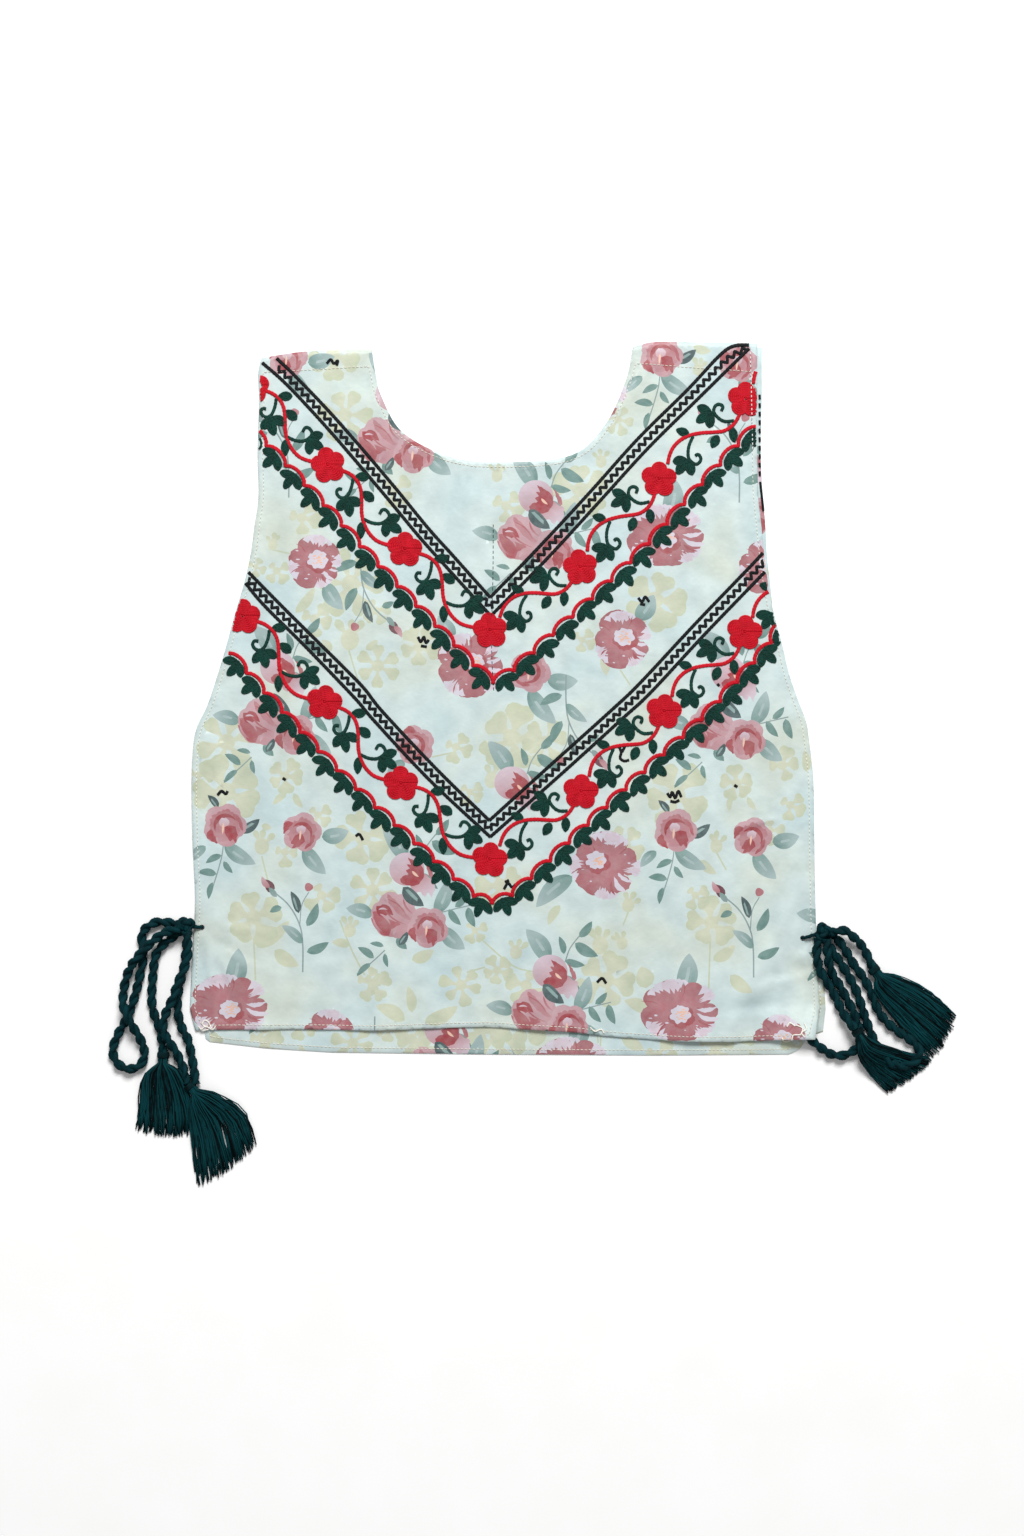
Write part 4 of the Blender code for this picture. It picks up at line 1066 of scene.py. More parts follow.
def leaf(base, tip, width, kind="mist", bend=0.06):
    base = np.array(base, float)
    tip = np.array(tip, float)
    width = width * (1.18 if kind == "small" else 1.42)
    shades = {
        "mist": (LEAF_GREEN, LEAF_PALE),
        "small": (LEAF_GREEN, LEAF_DEEP),
        "dark": (LEAF_DARK, LEAF_DARK),
        "yellow": (YELLOW_DEEP, YELLOW),
    }[kind]
    out = [Shape(leaf_loop(base, tip, width, bend), shades[0], shades[1], base, tip)]
    if kind == "mist":
        out.append(Shape(leaf_loop(base, tip, width, bend, 0.02, 0.62, 0.96, -0.42), LEAF_DEEP, LEAF_MIST,
                         base, base + (tip - base) * 0.7))
        out.append(Shape(leaf_loop(base, tip, width, bend, 0.02, 0.48, -0.30, 0.96), LEAF_GREEN, LEAF_MIST,
                         base, base + (tip - base) * 0.6))
        out.append(Shape(leaf_loop(base, tip, width * 0.16, bend, 0.28, 0.66), LEAF_PALE))
    if kind == "dark":
        out.append(Shape(leaf_loop(base, tip, width, bend, 0.12, 0.72, -0.05, 0.55), LEAF_GREEN, LEAF_MIST,
                         base, tip))
    if kind == "small":
        out.append(Shape(leaf_loop(base, tip, width, bend, 0.05, 0.9, 0.9, -0.1), LEAF_DEEP, LEAF_GREEN,
                         base, tip))
    return out


def strip(points, width, colour):
    """A painted stem."""
    line = smooth_route(points, 4.0)
    across = to_left(unit(np.gradient(line, axis=0))) * width / 2
    return [Shape(np.vstack([line + across, (line - across)[::-1]]), colour)]


def blob(middle, radius, lobes=5, depth=0.12, rough=0.0, turn=0.0, squeeze=1.0, seed=1):
    """A round shape with lobes, and with ragged edges if rough."""
    radius_x, radius_y = (radius, radius) if isinstance(radius, (int, float)) else radius
    count = max(8, int(2 * math.pi * max(radius_x, radius_y) / 2.1))
    rng = np.random.default_rng(seed)
    angles = turns_round(count)
    size = 1 - depth + depth * np.abs(np.cos(lobes * (angles - turn) / 2)) ** 0.7
    size = size + rough * rng.uniform(-1, 1, count)
    return np.array(middle) + np.stack([radius_x * size * np.cos(angles),
                                        radius_y * size * squeeze * np.sin(angles)], axis=1)


def crescent(middle, radius, turn, spread, thickness, shift=0.0, rough=0.0, seed=1):
    """A curved petal stroke round a middle, thick in its middle and pointed at its ends."""
    count = max(5, int(radius * spread / 2.2))
    t = np.linspace(-1, 1, count)
    rng = np.random.default_rng(seed)
    angles = turn + t * spread / 2
    swell = thickness * (1 - t * t) * (1 + rough * rng.uniform(-1, 1, count))
    outer = radius + shift * t
    one = np.array(middle) + outer[:, None] * rays(angles)
    inner = (outer - swell)[::-1]
    other = np.array(middle) + inner[:, None] * rays(angles[::-1])
    return np.vstack([one, other[1:-1]])


def petal(middle, turn, reach, spread, notch=0.07, neck=0.5):
    """One petal from a flower's middle: narrow there, wide and a little notched at its end."""
    s = np.linspace(-1, 1, 9)
    size = np.concatenate([[0.06, 0.42], 1 - 0.22 * s ** 4 - notch * np.exp(-(s / 0.24) ** 2), [0.42]])
    angle = turn + spread * np.concatenate([[0.0, -neck * 1.5], s, [neck * 1.5]])
    return np.array(middle) + np.array(reach) * rays(angle) * size[:, None]


def drawn(middle, r, turn, points, rough=0.0, seed=1):
    """A shape from points in parts of a radius round a middle, turned, with its edge a little ragged."""
    loop = evenly(np.array(points + points[:1], float), 0.13)[:-1]
    loop = loop + rough * np.random.default_rng(seed).uniform(-1, 1, loop.shape)
    return np.array(middle) + r * turned(loop, turn)


OPEN_BLOT = ((0.0, 0.10), (0.24, -0.02), (0.52, 0.04), (0.64, 0.34), (0.58, 0.78), (0.44, 0.58),
             (0.32, 0.74), (0.16, 0.52), (0.02, 0.34))
OPEN_STROKE = ((-0.78, 0.40), (-0.56, 0.24), (-0.40, 0.50), (-0.22, 0.90), (-0.50, 0.82), (-0.74, 0.68))
OPEN_RIGHT = ((0.30, -0.55), (0.62, -0.42), (0.82, -0.08), (0.84, 0.20), (0.66, -0.02), (0.60, -0.22),
              (0.40, -0.30))
CABBAGE_DEEP = ((-0.92, 0.05), (-0.62, -0.04), (-0.40, 0.16), (-0.02, 0.24), (0.34, 0.30), (0.18, 0.46),
                (0.02, 0.56), (-0.10, 0.92), (-0.46, 0.90), (-0.60, 0.62), (-0.84, 0.46))
CABBAGE_HEART = ((-0.80, -0.20), (-0.52, -0.36), (-0.22, -0.24), (-0.06, -0.02), (-0.30, 0.02),
                 (-0.46, 0.20), (-0.70, 0.14))
CABBAGE_FOLD = ((-0.50, -0.80), (-0.14, -0.62), (0.26, -0.34), (0.72, 0.06), (0.40, 0.06), (0.02, -0.16),
                (-0.34, -0.44))
HEART = ((-0.36, 0.80), (-0.42, 0.52), (-0.14, 0.38), (0.10, 0.32), (-0.06, 0.06), (0.16, -0.04),
         (-0.02, -0.28),
         (0.26, -0.24), (0.08, -0.68), (0.46, -0.46), (0.82, -0.24), (1.02, 0.12), (0.98, 0.52),
         (0.74, 0.86), (0.34, 1.00), (-0.06, 0.94))
SKIRT = ((0.20, 0.90), (0.90, 0.10), (1.26, 0.46), (1.62, 0.60), (1.66, 1.20), (1.44, 1.74), (1.24, 1.36),
         (1.02, 1.66), (0.82, 1.30), (0.56, 1.42), (0.30, 1.20))
BUD_EDGE = ((1.04, -0.40), (1.34, -0.16), (1.56, 0.26), (1.44, 0.62), (1.30, 0.34), (1.22, 0.04))


def rose_open(u, v, r, turn=0.0):
    m = np.array((u, v), float)
    lower = m + (0.3 * r, r)
    out = [Shape(blob(m, r, 5, 0.18, 0.02, turn), PINK_PALE, PINK_LIGHT, m - (r, r), m + (r, r))]
    out.append(Shape(blob(m + (0.02 * r, 0.02 * r), 0.74 * r, 6, 0.16, 0.09, turn + 0.5, seed=3), PINK,
                     PINK_LIGHT, m - (0, r), lower))
    out.append(Shape(drawn(m, r, turn, OPEN_RIGHT, 0.03, 4), PINK, PINK_DEEP, m - (0, r), lower))
    out.append(Shape(drawn(m, r, turn, OPEN_STROKE, 0.03, 5), PINK_DEEP, ROSE_RED, m, lower))
    out.append(Shape(crescent(m, 0.52 * r, turn - 2.2, 3.3, 0.22 * r, 0.02 * r, 0.15, 2), ROSE_RED,
                     PINK_DEEP, m, m + (r, -r)))
    out.append(Shape(drawn(m, r, turn, OPEN_BLOT, 0.02, 6), ROSE_RED, PINK_DEEP, m, lower))
    out.append(Shape(blob(m - (0.03 * r, 0.12 * r), (0.25 * r, 0.22 * r), 3, 0.14, 0.06, turn, seed=6),
                     PINK_PALE, LILAC, m, m - (0, 0.3 * r)))
    out.append(Shape(leaf_loop(m - (0.05 * r, 0.10 * r), m + (-0.10 * r, 0.42 * r), 0.14 * r), PEACH_PALE))
    return out


def rose_cabbage(u, v, r, turn=0.0):
    m = np.array((u, v), float)
    out = [Shape(blob(m, r, 6, 0.15, 0.02, turn), PINK_PALE, PINK_LIGHT, m - (0, r), m + (0, r))]
    out.append(Shape(crescent(m, 0.96 * r, turn + 2.1, 1.5, 0.34 * r, 0.05 * r, 0.1), PINK, PINK_LIGHT, m,
                     m + (0, r)))
    out.append(Shape(drawn(m, r, turn, CABBAGE_DEEP, 0.03, 2), PINK_DEEP, PINK, m + (-0.3 * r, r),
                     m + (0.3 * r, 0)))
    out.append(Shape(drawn(m, r, turn, CABBAGE_HEART, 0.04, 3), ROSE_RED, PINK_DEEP, m - (r, 0),
                     m + (0.3 * r, 0)))
    out.append(Shape(drawn(m, r, turn, CABBAGE_FOLD, 0.03, 4), PINK, PINK_LIGHT, m - (r, r), m + (r, 0)))
    rows = (
        # base across and down, tip across and down, width, shade, other shade
        (-0.62, -0.34, 0.56, 0.30, 0.09, PINK_DEEP, PINK),
        (-0.44, -0.60, 0.50, -0.02, 0.08, PINK_DEEP, PINK),
        (0.20, -0.74, 0.74, -0.20, 0.12, PINK_DEEP, PINK_LIGHT),
        (-0.64, 0.06, -0.10, 0.44, 0.13, PINK_PALE, PINK_LIGHT),
        (-0.86, 0.30, -0.36, 0.78, 0.12, PINK_PALE, PINK),
        (-0.72, -0.10, -0.34, -0.16, 0.11, LILAC, PINK_PALE),
        (0.30, 0.36, 0.10, 0.84, 0.20, PINK_LIGHT, PINK_PALE),
    )
    for k, (bx, by, tx, ty, width, shade, other) in enumerate(rows):
        base = m + r * turned((bx, by), turn)
        tip = m + r * turned((tx, ty), turn)
        out.append(Shape(leaf_loop(base, tip, width * r, 0.12 * (-1) ** k, step=1.8), shade, other, base,
                         tip))
    return out


def bud_rose(u, v, r):
    m = np.array((u, v), float)
    out = [Shape(drawn(m, r, 0.0, SKIRT, 0.04, 4), PINK_LIGHT, LILAC, m + (0.5 * r, 0.7 * r),
                 m + (1.2 * r, 1.6 * r))]
    out.append(Shape(blob(m, (1.03 * r, r), 2, 0.03), LILAC, PINK_LIGHT, m - (0.5 * r, 0.9 * r),
                     m + (0.2 * r, r)))
    out.append(Shape(drawn(m, r, 0.0, BUD_EDGE, 0.05, 2), PINK_DEEP, PINK, m, m + (r, r)))
    out.append(Shape(drawn(m, r, 0.0, HEART, 0.03, 9), ROSE_RED, PINK_DEEP, m + (0, r), m + (0.3 * r, -r)))
    out.append(Shape(leaf_loop(m + (0.30 * r, 0.10 * r), m + (0.70 * r, 0.46 * r), 0.22 * r, 0.05),
                     PEACH_PALE))
    return out


def comb(middle, sizes, turn, spread, low, high, rng):
    """A patch of dry brush on a flower's rim, with ragged spikes inwards."""
    count = max(7, int(spread * sizes[0] / 1.5)) | 1
    odd = np.arange(count) % 2 == 1
    angles = turn + spread * np.linspace(-1, 1, count) + rng.uniform(-0.02, 0.02, count)
    fade = 1 - 0.7 * np.abs(np.linspace(-1, 1, count)) ** 3
    inner = high - (high - low) * fade * np.where(odd, rng.uniform(0.55, 1.0, count),
                                                  rng.uniform(0.0, 0.35, count))
    outer = high + (1.0 - high) * np.where(odd, 1.06, rng.uniform(0.4, 1.0, count)) * fade + 0.01
    size = np.concatenate([outer, inner[::-1]])
    angles = np.concatenate([angles, angles[::-1] + 0.05])
    return np.array(middle) + np.array(sizes) * size[:, None] * rays(angles)


def anemone(u, v, radius_x, radius_y, core, turn=0.0, seed=1):
    """A wide open flower with dry brush marks along its rim and short strokes in its heart."""
    m = np.array((u, v), float)
    core = np.array(core, float)
    sizes = np.array((radius_x, radius_y), float)
    rng = np.random.default_rng(seed)

    def place(angle, part):
        return m + sizes * part * ray_at(angle)

    petals = (
        # turn, spread, reach
        (0.15, 0.62, 0.96), (1.40, 0.66, 1.02), (2.60, 0.60, 0.98), (3.85, 0.74, 1.03), (5.15, 0.62, 0.97),
    )
    out = [Shape(blob(m, 0.62 * sizes, 5, 0.1, 0.02, turn, seed=seed), MAUVE_LIGHT)]
    for at_turn, spread, reach in petals:
        angle = turn + at_turn + rng.uniform(-0.08, 0.08)
        loop = petal(m, angle, sizes * reach * rng.uniform(0.95, 1.05), spread, rng.uniform(-0.03, 0.09),
                     0.62)
        loop = evenly(np.vstack([loop, loop[:1]]), 2.6)[:-1]
        loop = loop + rng.uniform(-0.45, 0.45, loop.shape)
        out.append(Shape(loop, MAUVE_LIGHT, MAUVE, place(angle, 0.35), place(angle, 1.05)))
    for at_turn, spread, low in ((4.05, 0.62, 0.60), (2.05, 0.40, 0.62), (0.55, 0.34, 0.66),
                                 (5.45, 0.26, 0.55)):
        angle = turn + at_turn + rng.uniform(-0.1, 0.1)
        out.append(Shape(comb(m, sizes, angle, spread, low, 0.90, rng), BRUSH))
        out.append(Shape(comb(m, sizes, angle + 0.1, spread * 0.45, low - 0.10, low + 0.16, rng), BRUSH,
                         LILAC, m, place(angle, 1.0)))
    strokes = (
        # turn, start, end, width, shade
        (0.05, 0.42, 1.00, 0.26, BRUSH), (5.95, 0.40, 0.92, 0.20, BRUSH),
        (0.35, 0.50, 0.92, 0.13, PINK_DEEP), (1.98, 0.42, 1.00, 0.06, PINK_DEEP),
        (3.20, 0.46, 0.99, 0.07, PINK_DEEP), (4.60, 0.40, 0.9, 0.07, PINK_DEEP),
    )
    for at_turn, start, end, width, shade in strokes:
        angle = turn + at_turn
        loop = leaf_loop(place(angle, start), place(angle, end), width * sizes.mean(), 0.12,
                         round_base=0.9, step=2.2)
        loop = loop + rng.uniform(-0.6, 0.6, loop.shape)
        out.append(Shape(loop, shade, shade if shade == BRUSH else MAUVE, place(angle, end),
                         place(angle, start)))
    for k in range(8):
        spot = place(rng.uniform(0, 6.28), rng.uniform(0.5, 0.85))
        out.append(Shape(blob(spot, rng.uniform(1.0, 2.2), 2, 0.3, 0.2, k, 0.5, k), BRUSH))
    out.append(Shape(blob(core + (1.5, 2.5), (13.5, 11.5), 5, 0.2, 0.05, 0.4, seed=seed + 1), PINK_DEEP,
                     MAUVE, core + (6, 8), core - (0, 4)))
    out.append(Shape(blob(core, (10.5, 9.4), 7, 0.2, 0.08, 0.1, seed=seed + 2), BRUSH))
    for k in range(20):
        angle = rng.uniform(0, 6.28)
        reach = rng.uniform(0.0, 0.66)
        start = core + reach * np.array((10.5 * math.cos(angle), 8.4 * math.sin(angle)))
        tilt = rng.uniform(-0.7, 0.7)
        end = start + rng.uniform(2.4, 4.6) * ray_at(tilt)
        out.append(Shape(leaf_loop(start, end, 1.7), PEACH, PEACH_PALE, start, end))
    return out


def rose_bud(u, v, sign=1.0):
    """A small closed bud on its stem with leaves along it. It stands on its head where sign is -1."""
    def p(du, dv):
        return (u + sign * du, v + sign * dv)

    out = strip([p(4, 6), p(21, 21), p(32, 41), p(35, 61), p(35, 88)], 1.5, STEM)
    out += strip([p(41, 8), p(34, 21), p(32, 41)], 1.0, STEM)
    out.append(Shape(leaf_loop(p(5, 9), p(-3, -5), 13, 0.05), MAROON))
    out.append(Shape(leaf_loop(p(2, 4), p(-6, -8), 8, -0.1), PINK, PINK_PALE, p(2, 4), p(-6, -8)))
    out.append(Shape(leaf_loop(p(9, 13), p(1, 3), 8), STEM, LEAF_GREEN, p(9, 13), p(1, 3)))
    out.append(Shape(blob(p(41, 3), 4.5, 3, 0.2), PINK))
    out += leaf(p(14, 23), p(2, 28), 8, "small")
    out += leaf(p(31, 29), p(23, 7), 8, "dark")
    out += leaf(p(39, 42), p(50, 19), 11, "small")
    out += leaf(p(35, 59), p(14, 41), 10, "mist")
    out += leaf(p(39, 68), p(61, 58), 11, "small")
    return out


def spray(stem, leaves):
    """A thin stem with small leaves."""
    out = strip(stem, 1.2, STEM)
    for base, tip, width in leaves:
        out += leaf(base, tip, width, "small")
    return out


def yellow_flower(kind, u, v, r, turn=0.0):
    """A plain flower as one flat tint: open, ragged, seen from its side, or half shut."""
    rng = np.random.default_rng(int(u * 7 + v))
    m = np.array((u, v), float)
    turns, spread, reach, notch = {
        "petals": (turns_round(5), 0.56, 1.10, 0.08),
        "leafy": (turns_round(6), 0.38, 1.12, 0.04),
        "tulip": (np.array((-0.62, 0.0, 0.62)) - math.pi / 2, 0.26, 1.2, -0.06),
        "three": (np.array((-1.25, -0.1, 1.2, 3.1)), 0.56, 1.15, 0.06),
    }[kind]
    body = (0.62, 0.72) if kind == "tulip" else (0.36, 0.34)
    out = [Shape(blob(m, (body[0] * r, body[1] * r), 3, 0.06, 0.0, turn), YELLOW, YELLOW_DEEP, m,
                 m + (r, r))]
    for k, at_turn in enumerate(turns):
        angle = turn + at_turn + rng.uniform(-0.13, 0.13)
        size = r * reach * rng.uniform(1.04, 1.30) * (0.7 if kind == "three" and k == 3 else 1.0)
        loop = petal(m, angle, size, spread * rng.uniform(0.88, 1.12), notch * rng.uniform(0.6, 1.6), 0.42)
        ray = ray_at(angle)
        out.append(Shape(loop, YELLOW, YELLOW_DEEP, m + ray * r * rng.uniform(0.3, 0.8), m + ray * r * 1.2))
    return out


# Yellow shapes behind everything else
YELLOW_FLOWERS = (
    # kind, across, down, radius, turn
    ("petals", 333, 355, 20, 0.3), ("leafy", 345, 415, 20, 0.1), ("three", 395, 490, 14, 0.6),
    ("leafy", 227, 742, 24, 0.8), ("three", 199, 775, 11, 0.2), ("petals", 254, 917, 22, 0.9),
    ("three", 322, 895, 14, 1.2), ("leafy", 373, 890, 18, 0.4), ("tulip", 350, 930, 10, 0.2),
    ("three", 368, 980, 11, 0.1), ("three", 456, 747, 12, 0.5), ("petals", 512, 738, 26, 0.1),
    ("leafy", 545, 742, 18, 0.9), ("three", 470, 792, 10, 0.7), ("tulip", 492, 780, 12, 0.3),
    ("petals", 500, 885, 20, 0.6), ("three", 475, 930, 10, 1.0), ("tulip", 516, 952, 10, 0.2),
    ("petals", 497, 970, 12, 0.4), ("leafy", 461, 985, 16, 0.2), ("three", 373, 985, 14, 0.9),
    ("three", 526, 985, 16, 2.1), ("tulip", 600, 945, 13, 0.0), ("tulip", 622, 943, 9, -0.5),
    ("petals", 606, 980, 24, 0.2), ("petals", 711, 922, 20, 0.7), ("tulip", 628, 905, 10, 0.4),
    ("petals", 655, 600, 24, 0.1), ("three", 582, 640, 10, 0.6), ("petals", 676, 795, 26, 0.5),
    ("petals", 736, 783, 14, 0.9), ("three", 782, 765, 14, 0.1), ("three", 790, 805, 12, 0.6),
    ("three", 770, 830, 11, 1.4), ("tulip", 716, 846, 10, 0.1), ("petals", 625, 845, 16, 0.4),
    ("three", 695, 895, 11, 0.8), ("leafy", 618, 420, 12, 0.2), ("tulip", 601, 462, 9, 0.0),
    ("tulip", 698, 370, 9, 0.3), ("tulip", 497, 476, 9, 0.1), ("three", 506, 506, 14, 0.5),
    ("petals", 580, 490, 22, 0.8), ("three", 302, 518, 14, 0.3), ("tulip", 273, 545, 8, 0.1),
    ("three", 277, 571, 11, 0.9), ("leafy", 351, 584, 26, 0.1), ("three", 315, 619, 14, 0.5),
    ("tulip", 350, 640, 15, 0.1), ("leafy", 378, 666, 18, 0.6), ("three", 376, 611, 12, 1.1),
    ("petals", 419, 647, 16, 0.3), ("three", 256, 567, 8, 0.4), ("petals", 226, 792, 28, 0.5),
    ("petals", 285, 776, 14, 0.2), ("three", 318, 815, 11, 0.8), ("three", 285, 852, 11, 0.2),
    ("petals", 363, 838, 22, 0.7), ("tulip", 262, 846, 12, 0.1),
)
YELLOW_LEAVES = (
    # base across, base down, tip across, tip down, width
    (262, 825, 272, 828, 7), (287, 793, 273, 805, 7), (294, 793, 303, 808, 7), (257, 947, 290, 920, 12),
    (275, 950, 299, 966, 14), (350, 945, 332, 942, 9), (412, 960, 434, 950, 12), (405, 1020, 376, 1005, 14),
    (412, 1012, 408, 986, 10), (425, 1022, 458, 1006, 14), (646, 988, 641, 966, 18),
    (650, 1012, 624, 1000, 13),
    (713, 960, 735, 945, 12), (608, 650, 606, 676, 11), (731, 796, 729, 812, 6), (747, 797, 756, 810, 6),
    (806, 772, 804, 750, 9), (693, 347, 711, 352, 9), (296, 613, 315, 587, 10), (332, 651, 322, 640, 8),
    (366, 650, 378, 640, 8), (730, 975, 752, 992, 13), (560, 905, 548, 925, 9), (700, 860, 716, 874, 9),
)
YELLOW_STEMS = (
    # points from the flower down
    ((254, 938), (256, 980)), ((340, 920), (352, 950), (365, 975)), ((456, 752), (432, 757)),
    ((480, 938), (512, 965), (535, 972)), ((485, 967), (467, 972)), ((710, 940), (708, 1000)),
    ((628, 912), (623, 925)), ((620, 670), (630, 685)), ((349, 650), (358, 680)), ((273, 550), (290, 554)),
    ((262, 856), (268, 880)), ((716, 852), (726, 870)),
)
ROSE_PAIRS = (
    # across, down of the left rose of each pair
    (395, 915), (262, 722), (535, 1012),
)
BUD_ROSES = ((555, 975), (517, 787), (412, 873), (283, 672))
ANEMONES = (
    # middle, half sizes, core, leaf base, leaf tip, leaf width, turn
    ((680, 1010), (41, 32), (680, 1014), (682, 992), (689, 953), 20, 0.2),
    ((605, 865), (36, 34), (596, 860), (572, 876), (536, 907), 18, 0.9),
    ((622, 640), (29, 29), (624, 637), (637, 620), (654, 595), 18, 0.5),
    ((470, 665), (35, 33), (474, 662), (452, 642), (438, 616), 16, 0.1),
    ((315, 562), (27, 27), (318, 560), (325, 583), (343, 610), 16, 0.7),
)


def rose_pair(u, v):
    def p(du, dv):
        return (u + du, v + dv)

    out = leaf(p(-22, 0), p(-49, -7), 14)
    out += leaf(p(47, 13), p(70, 34), 16)
    out += leaf(p(41, -2), p(54, -36), 15)
    out += leaf(p(2, 22), p(12, 34), 10, "small")
    out += spray([p(43, -2), p(63, -7), p(76, -10)],
                 [(p(54, -6), p(66, 10), 9), (p(73, -8), p(80, 12), 10), (p(60, -8), p(72, -20), 8)])
    out += spray([p(-10, 35), p(-23, 47), p(-38, 59)],
                 [(p(-21, 43), p(-37, 32), 9), (p(-10, 38), p(-7, 52), 6), (p(-24, 48), p(-38, 61), 7),
                  (p(-11, 31), p(-25, 28), 6)])
    out += rose_cabbage(u, v, 24, 0.2)
    out += leaf(p(8, -28), p(29, -9), 13, "dark")
    out += leaf(p(4, 30), p(13, 16), 7, "dark")
    out += rose_open(u + 33, v + 12, 21, 0.4)
    return out


def bud_rose_group(u, v):
    def p(du, dv):
        return (u + du, v + dv)

    out = leaf(p(-6, -14), p(-29, -46), 18)
    out += leaf(p(12, 0), p(26, 16), 8, "small")
    out += spray([p(10, -13), p(15, -27), p(25, -40), p(30, -45)],
                 [(p(9, -21), p(4, -39), 8), (p(24, -38), p(37, -54), 10), (p(20, -32), p(43, -19), 13),
                  (p(10, -15), p(30, -10), 9)])
    out += bud_rose(u - 5, v - 4, 17)
    return out


def single_roses():
    """The two open roses at the left, the one by the point, and what grows round them."""
    out = leaf((225, 844), (256, 864), 15)
    out += leaf((240, 832), (260, 819), 10, "dark")
    out += leaf((206, 846), (190, 862), 10)
    out += leaf((219, 808), (208, 795), 7, "dark")
    out += spray([(224, 843), (222, 857), (217, 875), (212, 890)],
                 [((222, 855), (206, 863), 8), ((224, 861), (233, 873), 7), ((217, 874), (198, 872), 9),
                  ((213, 882), (209, 899), 7)])
    out += rose_open(225, 825, 22, 0.1)
    out += leaf((322, 837), (349, 831), 16)
    out += leaf((304, 847), (326, 874), 16)
    out += rose_open(302, 832, 20, 1.2)
    out += leaf((404, 760), (388, 782), 13)
    out += rose_open(415, 745, 20, 2.0)
    out += leaf((547, 680), (578, 681), 17)
    out += leaf((529, 690), (556, 724), 17)
    out += rose_open(530, 672, 21, 2.6)
    return out


def print_groups():
    out = []
    for u, v in BUD_ROSES:
        out += bud_rose_group(u, v)
    for u, v in ROSE_PAIRS:
        out += rose_pair(u, v)
    out += single_roses()
    out += rose_bud(268, 884)
    out += rose_bud(396, 630, -1.0)
    out += rose_bud(601, 763, -1.0)
    for k, (middle, sizes, core, base, tip, width, turn) in enumerate(ANEMONES):
        out += leaf(base, tip, width)
        out += anemone(*middle, *sizes, core, turn, k + 3)
    return out


def print_grounds():
    out = []
    for row in YELLOW_STEMS:
        out += strip(row, 1.6, YELLOW_DEEP)
    for bu, bv, tu, tv, width in YELLOW_LEAVES:
        out += leaf((bu, bv), (tu, tv), width, "yellow")
    for kind, u, v, r, turn in YELLOW_FLOWERS:
        out += yellow_flower(kind, u, v, r, turn)
    return out


def print_over(outline, shift, repeat_grounds):
    """All shapes that reach a panel, moved into millimetres."""
    low = outline.min(axis=0)
    high = outline.max(axis=0)
    steps = [(i, j) for i in (-1, 0, 1) for j in (-1, 0, 1)]
    moves = {(i, j): np.array(REPEAT_ACROSS) * i + np.array(REPEAT_DOWN) * j + shift for i, j in steps}
    out = []
    layers = ((print_grounds(), repeat_grounds), (print_groups(), True))
    for shapes, repeated in layers:
        for step in steps if repeated else [(0, 0)]:
            for shape in shapes:
                moved = shape.moved(moves[step])
                for name in ("loop", "start", "end"):
                    setattr(moved, name, (getattr(moved, name) - MIDDLE) * (STEP, -STEP))
                a = moved.loop.min(axis=0)
                b = moved.loop.max(axis=0)
                if np.all(b > low) and np.all(a < high):
                    out.append(moved)
    return out


def paint(obj, verts, tris, shapes):
    """Colours the upper face's triangles by the last shape over each. Alpha is 0 where none is."""
    middles = verts[tris].mean(axis=1)
    colours = np.zeros((len(tris), 3, 4))
    order = np.argsort(middles[:, 0])
    xs = middles[order, 0]
    for shape in shapes:
        low = shape.loop.min(axis=0)
        high = shape.loop.max(axis=0)
        some = order[np.searchsorted(xs, low[0]):np.searchsorted(xs, high[0])]
        some = some[(middles[some, 1] >= low[1]) & (middles[some, 1] <= high[1])]
        some = some[inside(middles[some], shape.loop)]
        if len(some):
            corners = verts[tris[some]].reshape(-1, 2)
            colours[some, :, :3] = shape.shades(corners).reshape(-1, 3, 3)
            colours[some, :, 3] = 1.0
    mesh = obj.data
    values = np.zeros((len(mesh.loops), 4), np.float32)
    values[:len(tris) * 3] = colours.reshape(-1, 4)
    layer = mesh.color_attributes.new("paint", "FLOAT_COLOR", "CORNER")
    layer.data.foreach_set("color", values.ravel())


def satin(name):
    s = Shader(name, 0.44)
    wash = s.noise(75.0, 2.0, rough=0.5)
    ground = s.ramp(wash, ((0.36, GROUND_COOL), (0.52, GROUND_LIGHT), (0.70, GROUND_WARM)))
    paint_node = s.add("ShaderNodeVertexColor", layer_name="paint")
    pools = s.span(s.noise(7.0, 4.0, rough=0.65), 0.3, 0.7, 0.86, 1.0)
    cover = s.sums("MULTIPLY", paint_node.outputs["Alpha"], pools)
    colour = s.mix(cover, ground, paint_node.outputs["Color"])
    shade = s.ramp(s.noise(17.0, 3.0), ((0.3, (224, 226, 227)), (0.7, (245, 245, 245))))
    s.colour(s.mix(0.9, colour, shade, "MULTIPLY"))
    across = s.noise(0.5, 2.0, (1.0, 0.12, 1.0))
    down = s.noise(0.5, 2.0, (0.12, 1.0, 1.0))
    weave = s.sums("ADD", s.sums("MULTIPLY", across, 0.5), s.sums("MULTIPLY", down, 0.5))
    s.bump(weave, 0.10, 0.5)
    s.bump(s.noise(3.2, 2.0), 0.22, 0.6)
    s.bump(s.noise(16.0, 2.0), 1.1, 0.6)
    s.set("Sheen Weight", 0.05)
    s.set("Specular IOR Level", 0.34)
    return s.mat


cloth_paint = satin("printed satin")
eyelets = [eyelet_ring(p) for p in EYELETS]


